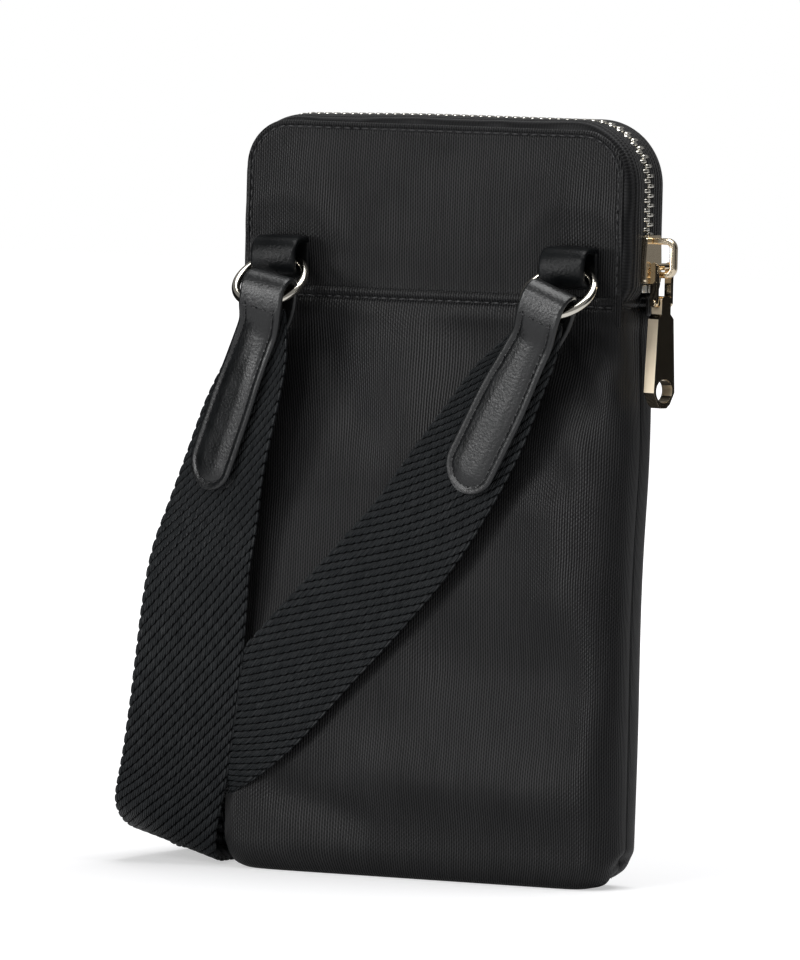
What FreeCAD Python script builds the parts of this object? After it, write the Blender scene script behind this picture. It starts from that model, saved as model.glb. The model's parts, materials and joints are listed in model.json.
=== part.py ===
import FreeCAD, Part
import math
import os
from FreeCAD import Placement, Rotation, Vector
import Sketcher

# A flat phone pouch of padded cloth with a zip over its top and sides, two ring tabs and a webbing strap.
# Millimetres. Z is up, the ring side faces -Y, the zip slider is at +X, the base centre is the origin.

doc = FreeCAD.newDocument("phone_pouch")
sheet = doc.addObject("Spreadsheet::Sheet", "dims")

SIZES = (
    ("body_width", 106.0, "width at the seam and above"),
    ("body_height", 190.0, "height of the cloth panels"),
    ("body_depth", 25.0, "depth of the filled lower part"),
    ("base_width", 106.0, "width just above the base"),
    ("base_depth", 23.0, "depth just above the base"),
    ("base_round", 4.0, "how far the base edge is drawn in"),
    ("base_rise", 8.0, "height at which the base edge has become the side"),
    ("fill_drop", 36.0, "how far under the seam the lower part gets its full depth"),
    ("side_round", 9.0, "rounding of the lower side edges"),
    ("seam_round", 5.0, "rounding of the side edges at the seam"),
    ("upper_height", 42.0, "height of the upper panels above the folded edge of the cross seam"),
    ("seam_overlap", 9.0, "how far the upper panel runs down behind the lower one"),
    ("gusset_depth", 20.0, "depth over both upper panels"),
    ("top_round", 14.0, "rounding of the two top corners"),
    ("skin", 1.0, "outer cloth with its hem"),
    ("padding", 2.0, "foam behind the lower cloth"),
    ("lining", 0.6, "inner cloth"),
    ("hem_margin", 2.0, "how far padding and lining stay inside the upper outline"),
    ("zip_rise", 1.6, "how far the zip stands above the panel edge"),
    ("tape", 0.7, "thickness of the zip tape"),
    ("tape_flat", 5.4, "half width of the flat middle of the zip tape"),
    ("tape_gap", 1.0, "half of the gap between the two tapes"),
    ("tooth_pitch", 2.4, "distance between teeth of one row"),
    ("tooth_length", 0.95, "tooth size along the zip"),
    ("tooth_thick", 2.4, "tooth size through the tape"),
    ("tooth_reach", 2.9, "how far a tooth reaches out from the zip's middle"),
    ("tooth_bite", 0.55, "how far a tooth head passes the zip's middle"),
    ("stop_length", 2.0, "length of the small clips at the zip's ends"),
    ("stop_fold", 0.45, "how far an end clip reaches round the tape's edge"),
    ("slider_clear", 4.0, "height of the closed slider's lower end over the seam"),
    ("slider_length", 12.0, "slider length along the zip"),
    ("slider_wide", 4.4, "half width of the slider at its lower end"),
    ("slider_narrow", 3.9, "half width of the slider at its upper end"),
    ("slider_channel", 3.0, "height of the slider's tooth channel"),
    ("slider_plate", 1.1, "thickness of the slider's two plates"),
    ("slider_slot", 1.3, "height of the slot that the tape runs in"),
    ("slider_post", 0.7, "half thickness of the slider's dividing post"),
    ("crown_rise", 6.2, "height of the crown over the slider plate"),
    ("crown_bar", 1.6, "thickness of the crown's bar"),
    ("crown_width", 2.0, "width of the crown across the zip"),
    ("link_length", 9.0, "distance between the link's two axes"),
    ("link_pin", 0.9, "radius of the link's upper bar"),
    ("link_gap", 2.25, "half of the gap between the link's legs"),
    ("link_leg", 0.9, "thickness of a leg of the link"),
    ("link_width", 2.2, "width of a leg of the link"),
    ("pull_pin", 0.8, "radius of the pin that holds the pull tab"),
    ("pull_length", 28.0, "length of the pull tab"),
    ("pull_neck", 3.4, "width of the pull tab's neck"),
    ("pull_shoulder", 5.8, "width of the pull tab at its shoulder"),
    ("pull_width", 7.8, "width of the pull tab at its lower end"),
    ("pull_thick", 3.4, "thickness of the pull tab"),
    ("pull_eye", 3.0, "radius of the eye in the pull tab"),
    ("pull_turn", 16.0, "angle by which the hanging pull faces the ring side"),
    ("tab_inset", 12.7, "distance of a ring tab's middle from the pouch's side"),
    ("tab_width", 11.8, "width of a ring tab"),
    ("tab_clear", 1.6, "height of a ring tab's lower side over the seam"),
    ("tab_rise", 11.6, "height of a ring tab"),
    ("tab_depth", 9.6, "how far a ring tab stands out from the panel"),
    ("tab_leather", 1.6, "leather thickness of a ring tab"),
    ("ring_radius", 9.0, "radius of a ring's centre line"),
    ("ring_rod", 1.1, "radius of a ring's rod"),
    ("ring_play", 0.4, "clearance round a ring's rod in its tab"),
    ("ring_tilt", 50.0, "angle by which a ring stands off from hanging straight down"),
    ("end_length", 52.0, "leather end from the ring's rod to its tip"),
    ("end_top", 6.4, "leather end above the ring's rod"),
    ("end_open", 5.0, "depth below the rod to which the leather layers stay apart"),
    ("end_close", 11.0, "depth below the rod at which the leather layers hold the webbing"),
    ("end_waist", 8.0, "depth below the rod to which the leather end stays narrow"),
    ("end_broad", 26.0, "depth below the rod at which the leather end is broadest"),
    ("end_fold", 2.4, "rounding of the leather's fold over the rod"),
    ("end_corner", 1.5, "rounding of the folded edge's two corners"),
    ("end_narrow", 10.6, "leather end's width at the ring"),
    ("end_width", 15.0, "leather end's width at its broadest"),
    ("end_leather", 1.4, "thickness of each leather layer"),
    ("end_eye", 7.0, "gap between the leather layers at the ring"),
    ("end_lean", 8.0, "angle by which the leather ends lean in towards the pouch"),
    ("end_follow", 0.55, "share of its sideways angle by which a leather end has slid round its ring"),
    ("left_swing", 22.0, "sideways angle of the left leather end"),
    ("right_swing", 30.0, "sideways angle of the right leather end"),
    ("webbing_width", 27.5, "width of the strap webbing"),
    ("webbing", 1.3, "thickness of the strap webbing"),
    ("webbing_slack", 0.3, "clearance between the webbing and each leather layer"),
    ("hank_run", 62.0, "length of one layer of the put-away strap"),
    ("hank_pitch", 1.9, "distance between layers of the put-away strap"),
    ("hank_gap", 6.75, "gap between the pouch's side and the put-away strap"),
    ("hank_front", 8.0, "position of the front of the put-away strap"),
)
HANK_LAYERS = 10
OUTER_CHORDS = 6
INNER_CHORDS = 3
ROD_SIDES = 8
RIBBON_STEPS = 2

# Heights and places that follow from the sizes, under names of their own.
WORKED_OUT = {
    "seam_height": "(body_height - upper_height)",
    "fill_height": "(body_height - upper_height - fill_drop)",
    "slider_start": "(body_height - upper_height + slider_clear)",
    "tab_low": "(body_height - upper_height + tab_clear)",
    "tab_side": "(body_width / 2 - tab_inset)",
}

for row, (alias, amount, meaning) in enumerate(SIZES, start=1):
    sheet.set(f"A{row}", alias)
    sheet.set(f"B{row}", str(amount))
    sheet.set(f"C{row}", meaning)
    sheet.setAlias(f"B{row}", alias)
doc.recompute()

IN_XY = Rotation()
IN_XZ = Rotation(Vector(1, 0, 0), 90)
IN_YZ = Rotation(Vector(1, 1, 1), 120)


def size(text):
    """Value of an expression in the sheet's sizes."""
    return float(sheet.evalExpression(spelled(text)))


def spelled(text):
    """Expression text with worked-out names written out and each size name led by the sheet's name."""
    words = []
    word = ""
    for letter in text + " ":
        if letter.isalpha() or letter == "_":
            word += letter
            continue
        if word in WORKED_OUT:
            word = spelled(WORKED_OUT[word])
        words.append(f"dims.{word}" if word in ALIASES else word)
        words.append(letter)
        word = ""
    return "".join(words).strip()


ALIASES = {alias for alias, _, _ in SIZES}


def bind(thing, **expressions):
    """Binds properties of a document object to expressions in the sizes."""
    for name, text in expressions.items():
        thing.setExpression(name.replace("__", "."), spelled(text))


def place(thing, x="0", y="0", z="0"):
    """Binds an object's position to three expressions."""
    bind(thing, Placement__Base__x=x, Placement__Base__y=y, Placement__Base__z=z)
    return thing


def pin_point(sketch, edge, end, x, y):
    """Holds one end of a sketch edge at a place given by two expressions."""
    for kind, axis, text in (("DistanceX", -2, x), ("DistanceY", -1, y)):
        if abs(size(text)) < 1e-9:
            sketch.addConstraint(Sketcher.Constraint("PointOnObject", edge, end, axis))
            continue
        number = sketch.addConstraint(Sketcher.Constraint(kind, -1, 1, edge, end, size(text)))
        sketch.setExpression(f"Constraints[{number}]", spelled(text))


def outline(name, corners, turn=IN_XY):
    """Sketch of a closed outline. Each corner is an x and a y expression, with a rounding if it has one."""
    sketch = doc.addObject("Sketcher::SketchObject", name)
    sketch.Placement = Placement(Vector(), turn)
    spots = [Vector(size(c[0]), size(c[1]), 0) for c in corners]
    legs = []
    for index, corner in enumerate(corners):
        here = spots[index]
        if len(corner) == 2:
            legs.append(((corner[0], corner[1], here), (corner[0], corner[1], here), None))
            continue
        ends = []
        for other in (spots[index - 1], spots[(index + 1) % len(spots)]):
            way = (other - here).normalize()
            x = f"{corner[0]} + ({corner[2]}) * {round(way.x, 9):.9f}"
            y = f"{corner[1]} + ({corner[2]}) * {round(way.y, 9):.9f}"
            ends.append((x, y, here + way * size(corner[2])))
        legs.append((ends[0], ends[1], corner[2]))
    joints = []
    for index, (_, leave, _) in enumerate(legs):
        arrive, depart, rounding = legs[(index + 1) % len(legs)]
        line = sketch.addGeometry(Part.LineSegment(leave[2], arrive[2]))
        pin_point(sketch, line, 1, leave[0], leave[1])
        joints.append((line, 1))
        joints.append((line, 2))
        if rounding is None:
            continue
        pin_point(sketch, line, 2, arrive[0], arrive[1])
        corner = spots[(index + 1) % len(legs)]
        centre = arrive[2] + depart[2] - corner
        middle = centre + (corner - centre).normalize() * size(rounding)
        arc = sketch.addGeometry(Part.Arc(arrive[2], middle, depart[2]))
        bend = sketch.getPoint(arc, 1).distanceToPoint(arrive[2]) < 1e-6
        joints.append((arc, 1 if bend else 2))
        joints.append((arc, 2 if bend else 1))
        number = sketch.addConstraint(Sketcher.Constraint("Radius", arc, size(rounding)))
        sketch.setExpression(f"Constraints[{number}]", spelled(rounding))
    for index in range(1, len(joints), 2):
        first, second = joints[index], joints[(index + 1) % len(joints)]
        sketch.addConstraint(Sketcher.Constraint("Coincident", *first, *second))
    return sketch


def chord_corners(left, right, low, high, rounding, chords):
    """Corners of an upright rectangle, each rounded alike by some chords."""
    spots = []
    for quarter, (x, y) in enumerate(((right, high), (left, high), (left, low), (right, low))):
        for step in range(chords + 1):
            angle = math.pi / 2 * (quarter + step / chords)
            inward_x = math.cos(angle) - math.copysign(1, math.cos(math.pi / 4 + quarter * math.pi / 2))
            inward_y = math.sin(angle) - math.copysign(1, math.sin(math.pi / 4 + quarter * math.pi / 2))
            spots.append((f"{x} + ({rounding}) * {inward_x:.9f}", f"{y} + ({rounding}) * {inward_y:.9f}"))
    return spots


def extrude(name, sketch, ahead, back="0"):
    """Solid made by pushing a sketch along its normal, and back by a second length."""
    solid = doc.addObject("Part::Extrusion", name)
    solid.Base = sketch
    solid.DirMode = "Normal"
    solid.Solid = True
    bind(solid, LengthFwd=ahead, LengthRev=back)
    return solid


def block(name, x, y, z):
    """Box between expression pairs along X, Y and Z."""
    solid = doc.addObject("Part::Box", name)
    bind(solid, Length=f"({x[1]}) - ({x[0]})", Width=f"({y[1]}) - ({y[0]})", Height=f"({z[1]}) - ({z[0]})")
    return place(solid, x[0], y[0], z[0])


def cut(name, base, tool):
    """Base without the tool."""
    solid = doc.addObject("Part::Cut", name)
    solid.Base = base
    solid.Tool = tool
    return solid


def common(name, *pieces):
    """What all pieces share."""
    solid = doc.addObject("Part::MultiCommon", name)
    solid.Shapes = list(pieces)
    return solid


def fuse(name, *pieces):
    """All pieces as one, without the seams between them."""
    solid = doc.addObject("Part::MultiFuse", name)
    solid.Shapes = list(pieces)
    solid.Refine = True
    return solid


def held(name, shape):
    """Document object that holds a worked-out shape."""
    thing = doc.addObject("Part::Feature", name)
    thing.Shape = shape
    return thing


# Lower body: nested lofts, each drawn in from the one outside it by the cloth between them.

LEVELS = (
    ("0", "base_width - 2 * base_round", "base_depth - 1.5 * base_round", "side_round - 2"),
    ("base_rise * 0.3", "base_width - base_round / 2", "base_depth - base_round / 3", "side_round - 1"),
    ("base_rise", "base_width", "base_depth", "side_round"),
    ("fill_height * 0.4", "base_width / 2 + body_width / 2", "body_depth", "side_round"),
    ("fill_height", "body_width", "body_depth", "side_round"),
    ("seam_height - seam_overlap - 1", "body_width", "gusset_depth + 2 * skin", "seam_round"),
    ("seam_height", "body_width", "gusset_depth + 2 * skin", "seam_round"),
)


def laid_flat(face):
    """A loft's flat face as a face of a plane with straight edges, looking the same way."""
    first, last, low, high = face.ParameterRange
    outward = face.normalAt((first + last) / 2, (low + high) / 2)
    spots = [vertex.Point for vertex in face.OuterWire.OrderedVertexes]
    flat = Part.Face(Part.makePolygon(spots + spots[:1]))
    if flat.normalAt(0, 0).dot(outward) < 0:
        flat.reverse()
    return flat


def lower_body(name, inset, over="0", chords=INNER_CHORDS):
    """Loft of the lower body, drawn in all round and carried past the seam, each band laid on a plane."""
    rings = []
    for number, (height, width, depth, rounding) in enumerate(LEVELS):
        sketch = outline(f"{name}_level{number}", chord_corners(
            f"-({width}) / 2 + {inset}", f"({width}) / 2 - ({inset})",
            f"-({depth}) / 2 + {inset}", f"({depth}) / 2 - ({inset})", f"{rounding} - ({inset})", chords))
        lift = f"({inset}) * (1 - ({height}) / base_rise)" if number < 2 else "0"
        above = over if number == len(LEVELS) - 1 else "0"
        place(sketch, z=f"{height} + {lift} + {above}")
        rings.append(sketch)
    doc.recompute()
    loft = doc.addObject("Part::Loft", f"{name}_loft")
    loft.Sections = rings
    loft.Solid = True
    loft.Ruled = True
    doc.recompute()
    shell = Part.Shell([laid_flat(face) for face in loft.Shape.Faces])
    return held(name, Part.makeSolid(shell))


PAD_INSET = "skin + padding"
HOLLOW_INSET = "skin + padding + lining"
outer_form = lower_body("lower_outer", "0", "0", OUTER_CHORDS)
shell = cut("lower_shell", outer_form, lower_body("lower_inner", "skin", "1"))
foam = cut("lower_foam", lower_body("foam_outer", "skin", "1"), lower_body("foam_inner", PAD_INSET, "2"))
cloth_form = lower_body("cloth_outer", PAD_INSET, "2")
cloth = cut("lower_cloth", cloth_form, lower_body("cloth_inner", HOLLOW_INSET, "3"))

TONGUE_LOW = "seam_height - seam_overlap"
TONGUE_SIDE = "body_width / 2 - side_round - seam_round / 2"


def upper_plate(name, margin, low, near, thick):
    """Upright plate with the pouch's top outline, drawn in by a margin, on the ring side of the zip."""
    side = f"body_width / 2 - {margin}"
    top = f"body_height - {margin}"
    bend = f"top_round - {margin}"
    sketch = outline(f"{name}_outline", [
        (f"-({side})", low), (side, low), (side, top, bend), (f"-({side})", top, bend)], IN_XZ)
    place(sketch, y=f"-({near})")
    return extrude(name, sketch, thick)


def mirrored(name, source):
    """The same piece on the far side of the zip."""
    twin = doc.addObject("Part::Mirroring", name)
    twin.Source = source
    twin.Normal = Vector(0, 1, 0)
    return twin


FACE = "gusset_depth / 2 - skin"
half = block("ring_half", ("-body_width", "body_width"), ("-body_depth", "0"), ("-1", "body_height + 5"))
low_half = block("ring_half_low", ("-body_width", "body_width"), ("-body_depth", "0"),
                 ("-1", TONGUE_LOW + " - 1"))

back_lower_panel = common("back_lower_panel", shell, half)
panel_top = upper_plate("upper_panel_plate", "0", "seam_height", FACE, "skin")
tongue = block("upper_panel_tongue", (f"-({TONGUE_SIDE})", TONGUE_SIDE),
               ("-gusset_depth / 2", f"-({FACE})"), (TONGUE_LOW, "seam_height"))
back_upper_panel = fuse("back_upper_panel", panel_top, tongue)

PAD_FACE = "gusset_depth / 2 - padding"
foam_low = common("back_foam_low", foam, low_half)
foam_neck = block("back_foam_neck", (f"-({TONGUE_SIDE})", TONGUE_SIDE),
                  (f"-({FACE})", f"-({PAD_FACE})"), (TONGUE_LOW + " - 1", "seam_height + hem_margin"))
foam_top = upper_plate("back_foam_plate", "hem_margin", "seam_height + hem_margin / 2", PAD_FACE,
                       f"{FACE} - ({PAD_FACE})")
back_padding = fuse("back_padding", foam_low, foam_neck, foam_top)

cloth_low = common("back_cloth_low", cloth, low_half)
cloth_neck = block("back_cloth_neck", (f"-({TONGUE_SIDE})", TONGUE_SIDE),
                   (f"-({PAD_FACE})", f"-({PAD_FACE}) + lining"),
                   (TONGUE_LOW + " - 1", "seam_height + hem_margin"))
cloth_top = upper_plate("back_cloth_plate", "hem_margin", "seam_height + hem_margin / 2",
                        f"{PAD_FACE} - lining", "lining")
back_lining = fuse("back_lining", cloth_low, cloth_neck, cloth_top)

front_lower_panel = mirrored("front_lower_panel", back_lower_panel)
front_upper_panel = mirrored("front_upper_panel", back_upper_panel)
front_padding = mirrored("front_padding", back_padding)
front_lining = mirrored("front_lining", back_lining)

# Zip: two tapes swept over the sides and top, teeth of both rows set in turn along the same way.

CHAIN = "body_width / 2 + zip_rise - tape / 2"
side_x = size("body_width / 2")
straight = size("body_height - top_round - seam_height")
bend_radius = size("top_round")
top_run = size("body_width - 2 * top_round")
rise = size("zip_rise - tape / 2")
foot = size("seam_height")
top_z = size("body_height")


def zip_way():
    """Wire of the zip's way from the right end over the top to the left end."""
    half_top = top_run / 2
    slant = bend_radius * (1 - math.sqrt(0.5))
    right = Vector(side_x, 0, foot)
    spots = (right, Vector(side_x, 0, foot + straight), Vector(half_top, 0, top_z))
    turn = Vector(side_x - slant, 0, top_z - slant)
    flip = [Vector(-s.x, 0, s.z) for s in (*spots, turn)]
    edges = [
        Part.LineSegment(spots[0], spots[1]), Part.Arc(spots[1], turn, spots[2]),
        Part.LineSegment(spots[2], flip[2]), Part.Arc(flip[2], flip[3], flip[1]),
        Part.LineSegment(flip[1], flip[0]),
    ]
    return Part.Wire([edge.toShape() for edge in edges])


zip_line = held("zip_line", zip_way())
tape_profile = outline("tape_profile", [
    ("body_width / 2 - tape", f"-({FACE})"), ("body_width / 2", f"-({FACE})"),
    ("body_width / 2 + zip_rise", "-tape_flat"), ("body_width / 2 + zip_rise", "-tape_gap"),
    ("body_width / 2 + zip_rise - tape", "-tape_gap"), ("body_width / 2 + zip_rise - tape", "-tape_flat")])
place(tape_profile, z="seam_height")
doc.recompute()
back_zip_tape = doc.addObject("Part::Sweep", "back_zip_tape")
back_zip_tape.Sections = [tape_profile]
back_zip_tape.Spine = (zip_line, [f"Edge{n}" for n in range(1, 6)])
back_zip_tape.Solid = True
back_zip_tape.Frenet = False
front_zip_tape = mirrored("front_zip_tape", back_zip_tape)

chain_bend = bend_radius + rise
bend_length = chain_bend * math.pi / 2
chain_length = 2 * straight + 2 * bend_length + top_run


def on_chain(travel):
    """Placement on the zip's middle line: X outward, Y across, Z along, from the right end."""
    if travel <= straight:
        spot, angle = Vector(side_x + rise, 0, foot + travel), 0.0
    elif travel <= straight + bend_length:
        angle = (travel - straight) / chain_bend
        spot = Vector(top_run / 2, 0, top_z - bend_radius)
        spot += Vector(math.cos(angle), 0, math.sin(angle)) * chain_bend
    elif travel <= straight + bend_length + top_run:
        angle = math.pi / 2
        spot = Vector(top_run / 2 - (travel - straight - bend_length), 0, top_z + rise)
    elif travel <= straight + 2 * bend_length + top_run:
        angle = math.pi / 2 + (travel - straight - bend_length - top_run) / chain_bend
        spot = Vector(-top_run / 2, 0, top_z - bend_radius)
        spot += Vector(math.cos(angle), 0, math.sin(angle)) * chain_bend
    else:
        angle = math.pi
        spot = Vector(-side_x - rise, 0, foot + chain_length - travel)
    return Placement(spot, Rotation(Vector(0, 1, 0), -math.degrees(angle)))


# A tooth: two legs that grip the tape's edge, and a head that passes the zip's middle.
tooth_jaw = outline("tooth_jaw", [
    ("-tooth_thick / 2", "-tooth_reach"), ("-tape / 2", "-tooth_reach"), ("-tape / 2", "-tape_gap"),
    ("tape / 2", "-tape_gap"), ("tape / 2", "-tooth_reach"), ("tooth_thick / 2", "-tooth_reach"),
    ("tooth_thick / 2", "tooth_bite"), ("-tooth_thick / 2", "tooth_bite")])
tooth = extrude("tooth", tooth_jaw, "tooth_length / 2", "tooth_length / 2")
doc.recompute()

pitch = size("tooth_pitch")
first_tooth = size("slider_start + slider_length - seam_height - 1")
last_tooth = chain_length - 3 * pitch
tooth_count = int((last_tooth - first_tooth) / pitch)


def tooth_row(name, shift, flip):
    """One row of teeth as solids along the zip."""
    row = []
    for number in range(tooth_count):
        piece = tooth.Shape.copy()
        if flip:
            piece = piece.mirror(Vector(), Vector(0, 1, 0))
        piece.Placement = on_chain(first_tooth + (number + shift) * pitch).multiply(piece.Placement)
        row.append(piece)
    return held(name, Part.makeCompound(row))


back_zip_teeth = tooth_row("back_zip_teeth", 0.0, False)
front_zip_teeth = tooth_row("front_zip_teeth", 0.5, True)

STOP = "tooth_thick / 2"
stop_grip = block("start_stop_block", (f"-({CHAIN}) - {STOP}", f"-({CHAIN}) + {STOP}"),
                  ("-tooth_reach", "tooth_reach"),
                  ("seam_height + tooth_length", "seam_height + tooth_length + stop_length"))
stop_slit = fuse("start_stop_slit", *(
    block(f"start_stop_slit{number}", (f"-({CHAIN}) - tape / 2", f"-({CHAIN}) + tape / 2"), span,
          ("seam_height", "seam_height + 5"))
    for number, span in enumerate((("-tooth_reach - 1", "-tape_gap"), ("tape_gap", "tooth_reach + 1")))))
zip_start_stop = cut("zip_start_stop", stop_grip, stop_slit)


END_STOP = ("slider_start - ring_play - stop_length", "slider_start - ring_play")
ring_side_clip = block("ring_side_clip", (f"{CHAIN} - {STOP}", f"{CHAIN} + {STOP}"),
                       ("-tooth_reach", "-tape_gap + stop_fold"), END_STOP)
ring_side_slit = block("ring_side_slit", (f"{CHAIN} - tape / 2", f"{CHAIN} + tape / 2"),
                       ("-tooth_reach - 1", "-tape_gap"), ("seam_height", "slider_start"))
ring_side_stop = cut("ring_side_stop", ring_side_clip, ring_side_slit)
far_side_stop = mirrored("far_side_stop", ring_side_stop)
zip_end_stops = doc.addObject("Part::Compound", "zip_end_stops")
zip_end_stops.Links = [ring_side_stop, far_side_stop]


# Slider: two plates with turned-in edges that hold the teeth, a post between the rows and a crown on top.

TOP = "slider_start + slider_length"
plate_outline = outline("slider_outline", [
    ("-slider_wide", "slider_start", "1"), ("slider_wide", "slider_start", "1"),
    ("slider_wide", "slider_start + slider_length * 0.45"), ("slider_narrow", TOP, "1"),
    ("-slider_narrow", TOP, "1"), ("-slider_wide", "slider_start + slider_length * 0.45")], IN_YZ)
place(plate_outline, x=CHAIN)
slider_block = extrude("slider_block", plate_outline, "slider_channel / 2 + slider_plate",
                       "slider_channel / 2 + slider_plate")
channel = block("slider_tooth_way", (f"{CHAIN} - slider_channel / 2", f"{CHAIN} + slider_channel / 2"),
                ("-slider_narrow + 0.7", "slider_narrow - 0.7"), ("slider_start - 1", f"{TOP} + 1"))
tape_way = block("slider_tape_way", (f"{CHAIN} - slider_slot / 2", f"{CHAIN} + slider_slot / 2"),
                 ("-slider_wide - 1", "slider_wide + 1"), ("slider_start - 1", f"{TOP} + 1"))
hollow_slider = cut("slider_hollow", slider_block, fuse("slider_ways", channel, tape_way))
post = block("slider_divider", (f"{CHAIN} - slider_channel / 2", f"{CHAIN} + slider_channel / 2"),
             ("-slider_post", "slider_post"), ("slider_start + 0.3", "slider_start + slider_length * 0.28"))
slider_body = fuse("slider_body", hollow_slider, post)

PLATE = f"{CHAIN} + slider_channel / 2 + slider_plate"
CROWN_LOW = "slider_start + 1.4"
CROWN_HIGH = f"{TOP} - 0.6"
crown_outer = outline("crown_outer", [
    (PLATE, CROWN_LOW), (f"{PLATE} + crown_rise", CROWN_LOW, "2.6"),
    (f"{PLATE} + crown_rise", CROWN_HIGH, "2.6"), (PLATE, CROWN_HIGH)], IN_XZ)
place(crown_outer, y="crown_width / 2")
crown_inner = outline("crown_inner", [
    (f"{PLATE} - 1", f"{CROWN_LOW} + crown_bar"),
    (f"{PLATE} + crown_rise - crown_bar", f"{CROWN_LOW} + crown_bar", "1"),
    (f"{PLATE} + crown_rise - crown_bar", f"{CROWN_HIGH} - crown_bar", "1"),
    (f"{PLATE} - 1", f"{CROWN_HIGH} - crown_bar")],
    IN_XZ)
place(crown_inner, y="crown_width")
slider_crown = cut("slider_crown", extrude("crown_bow", crown_outer, "crown_width"),
                   extrude("crown_window", crown_inner, "2 * crown_width"))

# Pull: link through the crown, pin, and a tapered tab with an eye. Drawn facing +X, then turned as it hangs.

LINK_X = f"{PLATE} + (crown_rise - crown_bar) / 2"
LINK_Z = f"{CROWN_LOW} + crown_bar + link_pin + 0.35"
PIN_Z = f"{LINK_Z} - link_length"
LINK_OUT = "link_gap + link_leg"


def round_bar(name, radius, length, z, x=LINK_X):
    """Round bar across the zip, centred on it."""
    bar = doc.addObject("Part::Cylinder", name)
    bar.Placement = Placement(Vector(), Rotation(Vector(1, 0, 0), 90))
    bind(bar, Radius=radius, Height=length)
    return place(bar, x, f"({length}) / 2", z)


def link_leg(name, near, far):
    """One flat leg of the link, rounded at both ends."""
    bar = block(f"{name}_bar", (f"{LINK_X} - link_width / 2", f"{LINK_X} + link_width / 2"),
                (near, far), (PIN_Z, LINK_Z))
    caps = []
    for label, height in (("upper", LINK_Z), ("lower", PIN_Z)):
        cap = round_bar(f"{name}_{label}", "link_width / 2", f"({far}) - ({near})", height)
        place(cap, LINK_X, far, height)
        caps.append(cap)
    return fuse(name, bar, *caps)


link_bar = round_bar("link_bar", "link_pin", f"2 * ({LINK_OUT}) - 0.4", LINK_Z)
legs = fuse("link_legs", link_leg("link_leg_ring_side", f"-({LINK_OUT})", "-link_gap"),
            link_leg("link_leg_far_side", "link_gap", LINK_OUT), link_bar)
pin_way = round_bar("link_pin_way", "pull_pin", f"2 * ({LINK_OUT}) + 2", PIN_Z)
pull_link_form = cut("pull_link_form", legs, pin_way)
pull_pin_form = round_bar("pull_pin_form", "pull_pin", f"2 * ({LINK_OUT}) + 0.4", PIN_Z)

PULL_TOP = f"{PIN_Z} + 1.7"
PULL_LOW = f"{PULL_TOP} - pull_length"
PULL_SHOULDER = f"{PIN_Z} - 4"
pull_outline = outline("pull_outline", [
    ("-pull_neck / 2", PULL_TOP, "1"), ("-pull_neck / 2", f"{PULL_SHOULDER} + 1.2"),
    ("-pull_shoulder / 2", PULL_SHOULDER), ("-pull_width / 2", f"{PULL_LOW} + pull_width / 2"),
    ("-pull_width / 3.4", f"{PULL_LOW} + pull_width * 0.13"), ("-pull_width / 8", PULL_LOW),
    ("pull_width / 8", PULL_LOW), ("pull_width / 3.4", f"{PULL_LOW} + pull_width * 0.13"),
    ("pull_width / 2", f"{PULL_LOW} + pull_width / 2"), ("pull_shoulder / 2", PULL_SHOULDER),
    ("pull_neck / 2", f"{PULL_SHOULDER} + 1.2"), ("pull_neck / 2", PULL_TOP, "1")], IN_YZ)
place(pull_outline, x=LINK_X)
pull_plate = extrude("pull_plate", pull_outline, "pull_thick / 2", "pull_thick / 2")
EYE_Z = f"{PULL_LOW} + pull_width / 2 + 0.4"
pull_eye = doc.addObject("Part::Cylinder", "pull_eye_way")
pull_eye.Placement = Placement(Vector(), Rotation(Vector(0, 1, 0), 90))
bind(pull_eye, Radius="pull_eye", Height="3 * pull_thick")
place(pull_eye, f"{LINK_X} - 1.5 * pull_thick", "0", EYE_Z)
pull_ways = fuse("pull_ways", pull_eye, round_bar("pull_neck_way", "pull_pin + 0.35", "2 * pull_neck", PIN_Z))
pull_tab_form = cut("pull_tab_form", pull_plate, pull_ways)
doc.recompute()

hang = Placement(Vector(), Rotation(Vector(0, 0, 1), -size("pull_turn")), Vector(size(LINK_X), 0, 0))


def turned(name, form):
    """A piece of the pull turned about the link's upright line, as it hangs."""
    return placed(name, form.Shape, hang)


def placed(name, shape, frame):
    """Copy of a shape in another frame."""
    thing = held(name, shape.copy())
    thing.Placement = frame.multiply(thing.Placement)
    return thing


pull_link = turned("pull_link", pull_link_form)
pull_pin = turned("pull_pin", pull_pin_form)
pull_tab = turned("pull_tab", pull_tab_form)

# Ring tabs: leather loops on the upper panel, each round a ring that swings in it.

TAB_BACK = "gusset_depth / 2"
TAB_FRONT = "gusset_depth / 2 + tab_depth"
TAB_HIGH = "tab_low + tab_rise"


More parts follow.
